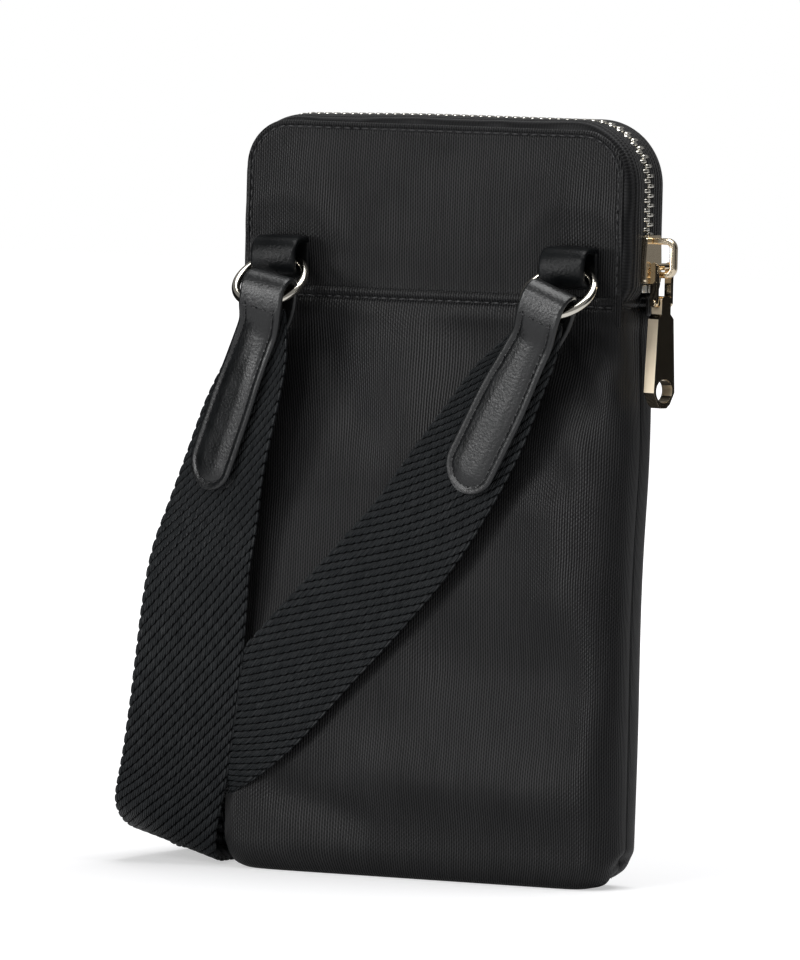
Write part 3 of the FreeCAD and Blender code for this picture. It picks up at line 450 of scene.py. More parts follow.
@dataclass(frozen=True)
class Finish:
    """A surface finish: two tones mixed by a slow mottle, and on cloth also by painted shade in the weave's
    valleys, with gloss and a relief.
    """

    name: str
    dark: tuple[float, float, float]
    light: tuple[float, float, float]
    smooth: float
    rough: float
    metallic: float = 0.0
    specular: float = 0.5
    sheen: float = 0.0
    coat: float = 0.0
    mottle_scale: float = 60.0
    relief: float = 0.0
    # Share of the specular kept where the tone is darkest; on cloth it takes sheen out of the weave's
    # valleys as painted shade.
    hollow: float = 1.0

    def place(self, pad: NodePad) -> Socket:
        """Coordinates that the pattern follows: the piece's own space."""
        return pad.add("ShaderNodeTexCoord").outputs["Object"]

    def weave(self, pad: NodePad, place: Socket) -> Node | None:
        """Group node with the finish's own relief, where it has one."""
        return None

    def tone(self, pad: NodePad, cloud: Socket, weave: Node | None) -> Socket:
        """Number from 0 for the darkest to 1 for the lightest tone."""
        return cloud

    def build(self) -> Material:
        """Makes the material.

        Returns:
            The material with its nodes.
        """
        material = bpy.data.materials.new(self.name)
        material.use_nodes = True
        pad = NodePad(material.node_tree)
        shader = material.node_tree.nodes["Principled BSDF"]
        place = self.place(pad)
        cloud = group_node(pad, MOTTLE, place, Scale=self.mottle_scale).outputs[0]
        weave = self.weave(pad, place)
        tone = self.tone(pad, cloud, weave)
        # The tone sets the colour; on cloth it holds painted shade in the weave's valleys.
        colour = pad.add("ShaderNodeMix", {0: tone}, data_type="RGBA")
        colour.inputs[6].default_value = (*self.dark, 1.0)
        colour.inputs[7].default_value = (*self.light, 1.0)
        pad.join(colour.outputs[2], shader.inputs["Base Color"])
        gloss = pad.add("ShaderNodeMapRange", {0: cloud, 3: self.smooth, 4: self.rough})
        pad.join(gloss.outputs[0], shader.inputs["Roughness"])
        # Specular falls with the tone: on cloth this is painted shade in the weave's valleys.
        shine = pad.add("ShaderNodeMapRange", {0: tone, 3: self.specular * self.hollow, 4: self.specular})
        pad.join(shine.outputs[0], shader.inputs["Specular IOR Level"])
        shader.inputs["Metallic"].default_value = self.metallic
        shader.inputs["Sheen Weight"].default_value = self.sheen
        shader.inputs["Sheen Roughness"].default_value = 0.45
        shader.inputs["Coat Weight"].default_value = self.coat
        shader.inputs["Coat Roughness"].default_value = 0.2
        if weave is not None:
            bump = pad.add("ShaderNodeBump", {
                "Strength": 1.0, "Distance": self.relief * MM, "Height": weave.outputs["Height"]})
            pad.join(bump.outputs[0], shader.inputs["Normal"])
        return material


@dataclass(frozen=True)
class ClothFinish(Finish):
    """Woven cloth with fine ribs that run along the piece's flat pattern."""

    pitch: float = 0.66
    float_length: float = 1.1

    def place(self, pad: NodePad) -> Socket:
        """Coordinates on the flat cloth."""
        return pad.add("ShaderNodeUVMap", uv_map="cloth").outputs[0]

    def weave(self, pad: NodePad, place: Socket) -> Node:
        """The ribs."""
        return group_node(pad, RIBS, place, Pitch=self.pitch * MM, Float=self.float_length * MM)

    def tone(self, pad: NodePad, cloud: Socket, weave: Node) -> Socket:
        """Painted light on the tops of the weave and painted shade in its valleys, with streaks of uneven
        yarn.
        """
        yarn = pad.plus(pad.times(weave.outputs["Streak"], 0.16), pad.times(cloud, 0.24))
        return pad.times(weave.outputs["Top"], pad.plus(yarn, 0.5))


@dataclass(frozen=True)
class TwillFinish(ClothFinish):
    """Webbing whose slanting bands stand out over painted shade in the lines between them."""

    slope: float = 1.43
    ridge: float = 3.3
    shift: float = 19.64
    yarn: float = 0.573
    start: float = 13.607

    def weave(self, pad: NodePad, place: Socket) -> Node:
        """The twill bands."""
        return group_node(pad, TWILL, place, Slope=self.slope, Ridge=self.ridge * MM, Shift=self.shift * MM,
                          Yarn=self.yarn * MM, Start=self.start * MM)


@dataclass(frozen=True)
class GrainFinish(Finish):
    """Leather, foam, thread or metal with a fine grain."""

    grain_scale: float = 1500.0

    def weave(self, pad: NodePad, place: Socket) -> Node:
        """The grain."""
        return group_node(pad, GRAIN, place, Scale=self.grain_scale)


class Finishes:
    """All finishes of the pouch."""

    def __init__(self) -> None:
        """Builds each material once."""
        # The cloth finishes darken their weave's valleys and take sheen out of them, as painted shade.
        self.nylon = ClothFinish(
            "black_ribbed_nylon", (0.0008, 0.0008, 0.001), (0.015, 0.015, 0.016), 0.34, 0.48,
            specular=0.56, sheen=0.03, mottle_scale=45.0, relief=0.09, hollow=0.22).build()
        self.tape = ClothFinish(
            "black_zip_tape", (0.003, 0.003, 0.0034), (0.020, 0.020, 0.021), 0.5, 0.68,
            specular=0.35, sheen=0.06, relief=0.2, pitch=1.1, float_length=0.8, hollow=0.3).build()
        self.webbing = TwillFinish(
            "black_twill_webbing", (0.0005, 0.0007, 0.0009), (0.0075, 0.0098, 0.0116), 0.40, 0.58,
            specular=0.42, sheen=0.02, mottle_scale=400.0, relief=0.16, hollow=0.08).build()
        self.leather = GrainFinish(
            "black_grain_leather", (0.0018, 0.0022, 0.0026), (0.0042, 0.005, 0.0056), 0.30, 0.42,
            specular=0.6, coat=0.04, mottle_scale=160.0, relief=0.1).build()
        self.tab = GrainFinish(
            "black_tab_leather", (0.0018, 0.0022, 0.0026), (0.0042, 0.005, 0.0056), 0.32, 0.44,
            specular=0.2, mottle_scale=160.0, relief=0.1).build()
        # Edge paint of the leather ends, made lighter than the leather also as a painted highlight on the
        # rounded cut edges.
        self.edge = GrainFinish(
            "painted_leather_edge", (0.010, 0.011, 0.012), (0.022, 0.023, 0.024), 0.24, 0.36,
            relief=0.02, grain_scale=900.0).build()
        self.thread = GrainFinish(
            "black_thread", (0.006, 0.006, 0.007), (0.028, 0.028, 0.029), 0.36, 0.52,
            mottle_scale=900.0, relief=0.04, grain_scale=4000.0).build()
        self.gold = GrainFinish(
            "polished_light_gold", (0.86, 0.72, 0.52), (0.93, 0.80, 0.60), 0.07, 0.14,
            metallic=1.0, relief=0.004, grain_scale=500.0).build()
        self.satin = GrainFinish(
            "satin_light_gold", (0.86, 0.74, 0.56), (0.93, 0.82, 0.64), 0.5, 0.6,
            metallic=1.0, relief=0.01, grain_scale=900.0).build()
        self.pale = GrainFinish(
            "polished_pale_gold", (0.80, 0.76, 0.67), (0.88, 0.84, 0.75), 0.08, 0.16,
            metallic=1.0, relief=0.004, grain_scale=500.0).build()
        self.teeth = GrainFinish(
            "zip_tooth_metal", (0.74, 0.72, 0.66), (0.86, 0.83, 0.75), 0.16, 0.3,
            metallic=1.0, mottle_scale=400.0, relief=0.01, grain_scale=1500.0).build()
        self.foam = GrainFinish(
            "grey_foam", (0.10, 0.10, 0.10), (0.16, 0.16, 0.155), 0.8, 0.95,
            relief=0.3, grain_scale=1200.0).build()
        self.lining = GrainFinish(
            "dark_lining", (0.012, 0.012, 0.014), (0.020, 0.020, 0.023), 0.55, 0.7,
            sheen=0.1, relief=0.05, grain_scale=2500.0).build()


def stitch_tree() -> Tree:
    """Geometry nodes that set one stitch after another along a line."""
    pad, given, result = new_group(
        "stitch_row", "GeometryNodeTree",
        {"Line": "Geometry", "Spacing": "Float", "Length": "Float", "Thickness": "Float", "Sway": "Float",
         "Seed": "Int", "Thread": "Material"},
        {"Stitches": "Geometry"})
    line, gap, thick = (given.outputs[name] for name in ("Line", "Spacing", "Thickness"))
    spaced = pad.add("GeometryNodeResampleCurve", {"Curve": line, "Length": gap}, mode="LENGTH")
    bead = pad.add("GeometryNodeMeshUVSphere", {"Segments": 8, "Rings": 6, "Radius": 0.5})
    scale = pad.add("ShaderNodeCombineXYZ", {0: given.outputs["Length"], 1: thick, 2: thick})
    stitch = pad.add("GeometryNodeTransform", {"Geometry": bead.outputs[0], "Scale": scale.outputs[0]})
    ahead = pad.add("GeometryNodeInputTangent")
    facing = pad.add("FunctionNodeAlignRotationToVector", {"Vector": ahead.outputs[0]}, axis="X")
    most = pad.add("ShaderNodeCombineXYZ", {axis: given.outputs["Sway"] for axis in range(3)})
    least = pad.add("ShaderNodeVectorMath", {0: most.outputs[0], 1: (-1.0, -1.0, -1.0)},
                    operation="MULTIPLY")
    stray = pad.add("FunctionNodeRandomValue", {
        0: least.outputs[0], 1: most.outputs[0], "Seed": given.outputs["Seed"]}, data_type="FLOAT_VECTOR")
    sway = pad.add("FunctionNodeEulerToRotation", {0: stray.outputs[0]})
    turned = pad.add("FunctionNodeRotateRotation", {0: facing.outputs[0], 1: sway.outputs[0]},
                     rotation_space="LOCAL")
    row = pad.add("GeometryNodeInstanceOnPoints", {
        "Points": spaced.outputs[0], "Instance": stitch.outputs[0], "Rotation": turned.outputs[0]})
    real = pad.add("GeometryNodeRealizeInstances", {0: row.outputs[0]})
    soft = pad.add("GeometryNodeSetShadeSmooth", {0: real.outputs[0]})
    done = pad.add("GeometryNodeSetMaterial", {0: soft.outputs[0], "Material": given.outputs["Thread"]})
    pad.join(done.outputs[0], result.inputs[0])
    return pad.tree


def tooth_tree() -> Tree:
    """Geometry nodes that set zip teeth at an even pitch along the zip's middle line."""
    pad, given, result = new_group(
        "tooth_row", "GeometryNodeTree",
        {"Line": "Geometry", "Tooth": "Object", "Lead": "Float", "Pitch": "Float", "Count": "Int",
         "Turn": "Float", "Metal": "Material"},
        {"Teeth": "Geometry"})
    count = given.outputs["Count"]
    gaps = pad.math("SUBTRACT", count, 1.0)
    end = pad.plus(given.outputs["Lead"], pad.times(gaps, given.outputs["Pitch"]))
    part = pad.add("GeometryNodeTrimCurve", {0: given.outputs["Line"]}, mode="LENGTH")
    pad.join(given.outputs["Lead"], part.inputs[4])
    pad.join(end, part.inputs[5])
    spaced = pad.add("GeometryNodeResampleCurve", {"Curve": part.outputs[0], "Count": count}, mode="COUNT")
    ahead = pad.add("GeometryNodeInputTangent")
    facing = pad.add("FunctionNodeAlignRotationToVector", {"Vector": ahead.outputs[0]},
                     axis="Z", pivot_axis="Y")
    angle = pad.add("ShaderNodeCombineXYZ", {0: given.outputs["Turn"]})
    turn = pad.add("FunctionNodeEulerToRotation", {0: angle.outputs[0]})
    turned = pad.add("FunctionNodeRotateRotation", {0: facing.outputs[0], 1: turn.outputs[0]},
                     rotation_space="LOCAL")
    tooth = pad.add("GeometryNodeObjectInfo", {"Object": given.outputs["Tooth"]})
    row = pad.add("GeometryNodeInstanceOnPoints", {
        "Points": spaced.outputs[0], "Instance": tooth.outputs["Geometry"], "Rotation": turned.outputs[0]})
    real = pad.add("GeometryNodeRealizeInstances", {0: row.outputs[0]})
    done = pad.add("GeometryNodeSetMaterial", {0: real.outputs[0], "Material": given.outputs["Metal"]})
    pad.join(done.outputs[0], result.inputs[0])
    return pad.tree


def grow(thing: Thing, tree: Tree, **values: Any) -> Thing:
    """Runs a geometry node tree on an object and keeps the result as a plain mesh.

    Args:
        thing: the object whose geometry goes in.
        tree: the node tree.
        values: its inputs, by name.

    Returns:
        The plain mesh object.
    """
    modifier = thing.modifiers.new(tree.name, "NODES")
    modifier.node_group = tree
    for item in tree.interface.items_tree:
        if item.in_out == "INPUT" and item.name in values:
            modifier[item.identifier] = values[item.name]
    return settle(thing)


def line_object(name: str, lines: Sequence[np.ndarray]) -> Thing:
    """Curve object of straight-run lines through points in millimetres."""
    curve = bpy.data.curves.new(name, "CURVE")
    curve.dimensions = "3D"
    for line in lines:
        spline = curve.splines.new("POLY")
        spline.points.add(len(line) - 1)
        spots = np.concatenate([line * MM, np.ones((len(line), 1))], axis=1)
        spline.points.foreach_set("co", spots.astype(np.float32).ravel())
    return new_object(name, curve)


@dataclass(frozen=True)
class Stitching:
    """A kind of seam: length, pitch and thickness of its stitches in millimetres."""

    length: float = 2.3
    spacing: float = 2.6
    thickness: float = 0.66
    sway: float = 0.14
    seed: int = 7

    def sew(self, name: str, lines: Sequence[np.ndarray], thread: Material, slot: str, body: str) -> None:
        """Sets stitches along lines, as one piece.

        Args:
            name: name of the piece.
            lines: arrays of points on the cloth.
            thread: the thread's material.
            slot: the record's material slot.
            body: CAD body that the stitches ride on.
        """
        row = grow(line_object(name, lines), STITCHES, Spacing=self.spacing * MM, Length=self.length * MM,
                   Thickness=self.thickness * MM, Sway=self.sway, Seed=self.seed, Thread=thread)
        dress(row, thread, slot, body)


STITCHES, TEETH = stitch_tree(), tooth_tree()


@dataclass(frozen=True)
class Fold:
    """A soft fold in cloth: a ridge, or a hollow where its height is negative, along a straight line."""

    start: tuple[float, float]
    end: tuple[float, float]
    height: float
    spread: float

    def lift(self, x: np.ndarray, z: np.ndarray) -> np.ndarray:
        """How far the fold lifts the cloth at each place."""
        begin, way = np.array(self.start), np.array(self.end) - np.array(self.start)
        length = float(np.hypot(*way))
        along = ((x - begin[0]) * way[0] + (z - begin[1]) * way[1]) / length**2
        aside = ((x - begin[0]) * way[1] - (z - begin[1]) * way[0]) / length
        ends = ramp(-0.15, 0.2, along) * (1.0 - ramp(0.75, 1.2, along))
        return self.height * ends * swell(aside, 0.0, self.spread)


@dataclass
class LowerBody:
    """Padded lower part: two halves that meet at the sides and base, with a folded edge at the cross seam.

    Steps are counted on a side's flat, on its corner and over the face.
    """

    width_at_base: float = 53.4
    widest: float = 112.0
    neck: tuple[float, float] = (108.0, 138.0)
    steps: tuple[int, int, int] = (5, 10, 64)
    bag_rows: int = 48
    bag_steps: tuple[int, int, int] = (2, 5, 34)
    left_foot: float = 4.4
    base_round: float = 4.0
    base_rise: float = 8.0
    side_round: float = 9.0
    ring_round: float = 10.0
    seam_round: float = 6.0
    hip: float = 1.5
    stitch_drop: float = 2.1
    groove: float = 0.6
    roll: float = 0.8
    skin: float = 0.6
    foam: float = 1.6
    fold_share: float = 1.9
    most_rise: float = 1.9
    most_sink: float = 0.6
    corner_lift: float = 3.6
    corner_pinch: float = 1.4
    ring_only_folds: int = 4
    ring_folds: tuple[Fold, ...] = (
        Fold((36.0, 146.0), (52.0, 121.0), 0.4, 2.6),
        Fold((34.0, 144.0), (50.0, 108.0), -0.4, 3.8),
        Fold((29.0, 143.0), (47.0, 98.0), 0.5, 5.2),
        Fold((44.0, 144.0), (54.0, 130.0), -0.35, 2.2),
        Fold((-31.0, 138.0), (-15.0, 108.0), -1.0, 6.0),
        Fold((-8.0, 142.0), (-2.0, 92.0), 1.0, 8.0),
        Fold((12.0, 140.0), (18.0, 104.0), -0.5, 7.0),
        Fold((0.0, 57.0), (48.0, 50.0), -0.9, 10.0),
        Fold((-20.0, 27.0), (46.0, 23.0), 1.2, 9.0),
        Fold((34.0, 100.0), (40.0, 66.0), 1.0, 7.0),
        Fold((47.0, 112.0), (46.0, 62.0), -0.35, 5.0),
        Fold((-44.0, 22.0), (-14.0, 14.0), -0.6, 5.0),
    )

    def __post_init__(self) -> None:
        """Reads the outer sizes from the frame."""
        low, high = node_box("back_lower_panel")
        self.half_width = float(high[0])
        self.half_depth = float(-low[1])
        self.height = float(high[2])
        self.neck_depth = float(-node_box("back_upper_panel")[0][1]) + 1.0

    def section(self, z: np.ndarray, columns: tuple[int, int, int],
                side: Side) -> tuple[np.ndarray, np.ndarray]:
        """Half outline of the body at each height, drawn on the ring side.

        Args:
            z: heights.
            columns: steps along the outline.
            side: the half, for the rounding of its edges.

        Returns:
            X and Y of the outline, one row for each height.
        """
        rise = np.clip(1.0 - z / self.base_rise, 0.0, 1.0)
        draw = self.base_round * (1.0 - np.sqrt(1.0 - rise**2))
        wider = (self.half_width - self.width_at_base) * ramp(0.0, self.widest, z)
        width = self.width_at_base + wider - draw
        depth = self.half_depth - 1.0 * (1.0 - ramp(0.0, 45.0, z)) - 0.7 * draw
        neck = ramp(*self.neck, z)
        depth = depth + (self.neck_depth - depth) * neck
        round_here = self.ring_round if side is Side.RING else self.side_round
        bend = round_here + (self.seam_round - round_here) * neck
        bend = np.minimum(bend, depth - 0.5)[:, None]
        width, depth = width[:, None], depth[:, None]
        flank, corner, face = columns
        down = np.linspace(0.0, 1.0, flank, endpoint=False)[None, :]
        turn = np.linspace(0.0, math.pi / 2, corner, endpoint=False)[None, :]
        over = np.linspace(0.0, 1.0, face + 1)[None, :]
        left = [(-width + 0.0 * down, -down * (depth - bend)),
                (-width + bend * (1.0 - np.cos(turn)), -(depth - bend) - bend * np.sin(turn))]
        middle = (-(width - bend) * (1.0 - 2.0 * over), -depth + 0.0 * over)
        right = [(-x[:, ::-1], y[:, ::-1]) for x, y in reversed(left)]
        runs = [*left, middle, *right]
        x, y = (np.concatenate([run[axis] for run in runs], axis=1) for axis in (0, 1))
        spread = self.left_foot * (1.0 - ramp(4.0, self.widest, z))[:, None]
        hip = self.hip * swell(z, self.widest, 26.0)[:, None]
        return x - spread * ramp(5.0, 53.0, -x) + hip * ramp(40.0, 53.0, x), y

    def plain(self, z: np.ndarray, columns: tuple[int, int, int], side: Side) -> np.ndarray:
        """Smooth outer surface of a half, drawn on the ring side, as rows of points."""
        x, y = self.section(z, columns, side)
        return np.stack([x, y, np.broadcast_to(z[:, None], x.shape)], axis=2)

    def filled(self) -> np.ndarray:
        """How far the filling pushes the cloth out, from a cloth simulation of the whole lower part.

        Returns:
            Rows of outward distances over the ring half, up the body and along its outline.
        """
        z = np.linspace(0.0, self.height, self.bag_rows)
        half = self.plain(z, self.bag_steps, Side.FAR)
        rows, count, _ = half.shape
        far = half[:, -2:0:-1].copy()
        far[:, :, 1] *= -1.0
        ring = np.concatenate([half, far], axis=1)
        around = ring.shape[1]
        base = ring[0].copy()
        base[:, 1] *= 0.5
        flat = ring[0].copy()
        flat[:, 1] = 0.0
        lid = ring[-1].mean(axis=0)
        points = np.concatenate([flat[None], base[None], ring], axis=0).reshape(-1, 3)
        faces = grid_faces(rows + 2, around, around=True)
        top = (rows + 1) * around
        faces += [(top + step, top + (step + 1) % around, len(points)) for step in range(around)]
        points = np.concatenate([points, lid[None]], axis=0)
        held = [spot for spot, place in enumerate(points) if place[2] < 1.0 or place[2] > self.height - 1.0]
        moved = inflate(points, faces, held)
        shift = (moved - points)[2 * around:top + around].reshape(rows, around, 3)[:, :count]
        return np.clip(np.einsum("rck,rck->rc", shift, outward(half)), -self.most_sink, self.most_rise)

    def surface(self, z: np.ndarray, columns: tuple[int, int, int], fill: np.ndarray,
                side: Side) -> np.ndarray:
        """Outer surface with its filling, folds, stitch groove and side seam.

        Args:
            z: heights of its rows.
            columns: steps along the outline.
            fill: outward push from the simulation.
            side: which half.

        Returns:
            Rows of points.
        """
        points = self.plain(z, columns, side)
        normals = outward(points)
        up = np.interp(z, np.linspace(0.0, self.height, len(fill)), np.arange(len(fill)))
        along = np.linspace(0.0, fill.shape[1] - 1.0, points.shape[1])
        low = np.minimum(up.astype(int), len(fill) - 2)
        part = (up - low)[:, None]
        rowed = fill[low] * (1.0 - part) + fill[low + 1] * part
        push = np.stack([np.interp(along, np.arange(fill.shape[1]), row) for row in rowed])
        x, height = points[:, :, 0], points[:, :, 2]
        on_face = ramp(0.25, 0.9, -normals[:, :, 1])
        folds = self.ring_folds if side is Side.RING else self.ring_folds[self.ring_only_folds:]
        flip = 1.0 if side is Side.RING else -1.0
        for fold in folds:
            push = push + self.fold_share * fold.lift(flip * x, height) * on_face
        seam = self.height - self.stitch_drop
        push = push * (1.0 - ramp(self.height - 9.0, self.height - 1.0, height))
        push = push - self.groove * swell(height, seam, 0.55) + 0.3 * swell(height, self.height - 0.9, 0.9)
        push = push + 0.35 * swell(height, seam - 3.5, 2.4)
        push = push - 0.2 * swell(points[:, :, 1], 0.0, 0.8) * ramp(0.5, 3.0, height)
        points = points + normals * push[:, :, None]
        corner = ramp(38.0, 52.5, np.abs(points[:, :, 0]))
        tuck = swell(points[:, :, 1], 0.0, 5.0) * corner
        lift = self.corner_lift * (tuck if side is Side.RING else corner)
        points[:, :, 2] += lift * (1.0 - ramp(1.0, 17.0, height))
        points[:, :, 0] -= np.sign(points[:, :, 0]) * self.corner_pinch * tuck * swell(height, 4.2, 1.8)
        if side is Side.FAR:
            points[:, :, 1] *= -1.0
        return points

    def shell(self, fill: np.ndarray, side: Side) -> tuple[np.ndarray, np.ndarray]:
        """Points of one half's skin, from the base's middle to the folded edge, with their flat places."""
        z = np.unique(np.concatenate([
            np.linspace(0.0, 9.0, 13), np.linspace(9.0, 136.0, 64),
            np.linspace(136.0, self.height - 0.4, 34)]))
        body = self.surface(z, self.steps, fill, side)
        base = [body[0] * (1.0, share, 1.0) for share in (0.0, 0.5, 0.85, 0.96)]
        inward = -outward(body)[-1]
        inward[:, 2] = 0.0
        edge = []
        for angle in np.linspace(0.0, math.pi, 7)[1:]:
            lift = np.array([0.0, 0.0, self.roll * math.sin(angle)])
            edge.append(body[-1] + inward * self.roll * (1.0 - math.cos(angle)) + lift)
        edge.append(edge[-1] + np.array([0.0, 0.0, -4.0]))
        points = np.concatenate([np.stack(base), body, np.stack(edge)], axis=0)
        return points, flat_places(points)

    def build(self, finishes: Finishes) -> np.ndarray:
        """Builds skins and seam stitches of both halves.

        Args:
            finishes: the materials.

        Returns:
            The simulated push of the filling.
        """
        fill = self.filled()
        log.info("filling pushes the cloth out by %.2f to %.2f mm", fill.min(), fill.max())
        for side in Side:
            points, flat = self.shell(fill, side)
            faces = grid_faces(*points.shape[:2], flip=side is Side.FAR)
            skin = make_object(f"{side.prefix}_lower_skin", points, faces, flat, tidy=False)
            thicken(skin, self.skin)
            dress(skin, finishes.nylon, "cloth", "pouch", f"{side.prefix}_lower_panel")
            seam = np.array([self.height - self.stitch_drop])
            line = self.surface(seam, self.steps, fill, side)[0]
            Stitching().sew(f"{side.prefix}_seam_stitches", [line[6:-6]], finishes.thread, "cloth", "pouch")
        return fill


def inflate(points: np.ndarray, faces: Sequence[Sequence[int]], held: Sequence[int]) -> np.ndarray:
    """Blows a closed bag of cloth up a little by a cloth simulation.

    Args:
        points: its points in millimetres.
        faces: its faces.
        held: numbers of the points that stay in place.

    Returns:
        The points after the simulation.
    """
    enlarge = 10.0
    bag = make_object("bag_of_cloth", points * enlarge, faces, tidy=False)
    clean_mesh(bag.data)
    group = bag.vertex_groups.new(name="held")
    group.add(list(held), 1.0, "REPLACE")
    cloth = add_modifier(bag, "CLOTH")
    rules = cloth.settings
    rules.quality = 6
    rules.mass = 0.3
    rules.tension_stiffness = 12.0
    rules.compression_stiffness = 12.0
    rules.shear_stiffness = 5.0
    rules.bending_stiffness = 1.5
    rules.use_pressure = True
    rules.uniform_pressure_force = 2.6
    rules.shrink_min = -0.012
    rules.vertex_group_mass = "held"
    rules.effector_weights.gravity = 0.0
    frames = 22
    cloth.point_cache.frame_start = 1
    cloth.point_cache.frame_end = frames
    scene = bpy.context.scene
    for number in range(1, frames + 1):
        scene.frame_set(number)
    moved = bag.evaluated_get(bpy.context.evaluated_depsgraph_get()).data
    result = np.empty(len(moved.vertices) * 3, np.float32)
    moved.vertices.foreach_get("co", result)
    bpy.data.objects.remove(bag)
    scene.frame_set(1)
    return result.reshape(-1, 3).astype(float) / (MM * enlarge)


def outward(points: np.ndarray) -> np.ndarray:
    """Outward unit normals of the ring half's rows of points."""
    along = np.gradient(points, axis=1)
    up = np.gradient(points, axis=0) if len(points) > 1 else np.broadcast_to((0.0, 0.0, 1.0), points.shape)
    normal = np.cross(along, up)
    return normal / np.maximum(np.linalg.norm(normal, axis=2, keepdims=True), 1e-9)


def flat_places(points: np.ndarray) -> np.ndarray:
    """Flat places of a surface's points, in metres, by its lengths across and up its middle."""
    across = run_lengths(points[len(points) // 2])
    up = run_lengths(points[:, points.shape[1] // 2])
    return np.stack(np.broadcast_arrays(across[None, :] * MM, up[:, None] * MM), axis=2)


@dataclass
class UpperPanels:
    """Flat hemmed panels over the cross seam, one on each side of the zip, and the padding behind them."""

    top_round: float = 12.0
    stitch_inset: float = 1.7
    groove: float = 0.36
    bulge: float = 0.9
    thick: float = 0.9
    tab_side: float = 40.3
    tab_height: float = 155.4
    ring_folds: tuple[Fold, ...] = (
        Fold((-36.0, 156.0), (-35.0, 184.0), 0.9, 7.0),
        Fold((-24.0, 152.0), (-26.0, 178.0), -0.6, 5.0),
        Fold((35.0, 156.0), (37.0, 182.0), 0.8, 7.0),
        Fold((-11.0, 187.0), (-15.0, 158.0), 0.4, 4.0),
        Fold((3.0, 187.0), (0.0, 162.0), -0.4, 4.0),
        Fold((17.0, 187.0), (21.0, 154.0), 0.45, 5.0),
        Fold((47.0, 184.0), (50.0, 150.0), 0.4, 3.0),
    )

    def __post_init__(self) -> None:
        """Reads the outline from the frame."""
        low, high = node_box("back_upper_panel")
        self.half_width, self.top = float(high[0]), float(high[2])
        self.low, self.face = float(low[2]) + 2.0, float(-low[1])

    def reach(self, z: np.ndarray, inset: float = 0.0) -> np.ndarray:
        """Half width of the outline at each height, drawn in by an inset."""
        bend = self.top_round - inset
        over = np.clip(z - (self.top - self.top_round), 0.0, bend)
        return self.half_width - self.top_round + np.sqrt(np.maximum(bend**2 - over**2, 0.0))

    def from_edge(self, x: np.ndarray, z: np.ndarray) -> np.ndarray:
        """Distance of each place from the hemmed edge."""
        corner_x, corner_z = self.half_width - self.top_round, self.top - self.top_round
        straight = np.minimum(self.half_width - np.abs(x), self.top - z)
        bent = self.top_round - np.hypot(np.abs(x) - corner_x, z - corner_z)
        return np.where((np.abs(x) > corner_x) & (z > corner_z), bent, straight)

    def stand_out(self, x: np.ndarray, z: np.ndarray, side: Side) -> np.ndarray:
        """How far the panel stands out from its flat plane."""
        edge = self.from_edge(x, z)
        rise = -0.5 * (1.0 - np.clip(edge / 0.7, 0.0, 1.0)) ** 2
        sunk = self.groove * swell(edge, self.stitch_inset, 0.42)
        rise = rise + self.bulge * ramp(1.9, 16.0, edge) - sunk
        rise = rise + 0.16 * swell(edge, 0.85, 0.4)
        rise = rise * (0.35 + 0.65 * ramp(148.0, 160.0, z))
        waves = 0.16 * np.sin(x / 9.0 + 0.6) * np.sin(z / 11.0) + 0.1 * np.sin(x / 4.7 + z / 9.0)
        rise = rise + waves * ramp(3.0, 9.0, edge)
        if side is Side.RING:
            for fold in self.ring_folds:
                rise = rise + fold.lift(x, z) * ramp(3.0, 8.0, edge)
            for tab in (-self.tab_side, self.tab_side):
                away = np.hypot((x - tab) / 9.0, (z - self.tab_height) / 9.0)
                rise = rise - 0.55 * swell(away, 0.0, 1.0)
                rise = rise + 0.4 * swell(away, 1.7, 0.35) * ramp(0.0, 8.0, z - self.tab_height)
        return rise

    def grid(self, inset: float = 0.0) -> tuple[np.ndarray, np.ndarray]:
        """Rows and columns of places over the panel, closer together near its hem."""
        near = np.array([0.0, 0.2, 0.45, 0.7, 0.95, 1.2, 1.4, 1.6, 1.7, 1.85, 2.1, 2.5, 3.2, 4.5, 6.4])
        inner = np.linspace(-self.half_width + 8.0, self.half_width - 8.0, 64)
        across = np.concatenate([-self.half_width + near, inner, (self.half_width - near)[::-1]])
        share = across / self.half_width
        turn = np.sin(np.linspace(0.0, math.pi / 2, 14)) * (self.top_round - inset)
        z = np.concatenate([np.linspace(self.low, 174.0, 26), self.top - self.top_round + turn,
                            self.top - inset - near])
        z = np.unique(np.round(z, 3))
        z = z[z <= self.top - inset]
        x = share[None, :] * self.reach(z, inset)[:, None]
        return x, np.broadcast_to(z[:, None], x.shape)

    def build(self, finishes: Finishes) -> None:
        """Builds the panels with their hem stitches."""
        for side in Side:
            x, z = self.grid()
            y = side.value * (self.face + self.stand_out(x, z, side))
            points = np.stack([x, y, z], axis=2)
            flat = np.stack([x, z], axis=2) * MM
            faces = grid_faces(*x.shape, flip=side is Side.FAR)
            panel = make_object(f"{side.prefix}_upper_cloth", points, faces, flat, tidy=False)
            thicken(panel, self.thick)
            dress(panel, finishes.nylon, "cloth", "pouch", f"{side.prefix}_upper_panel")
            hem = [self.hem_line(side)]
            Stitching(seed=11).sew(f"{side.prefix}_hem_stitches", hem, finishes.thread, "cloth", "pouch")

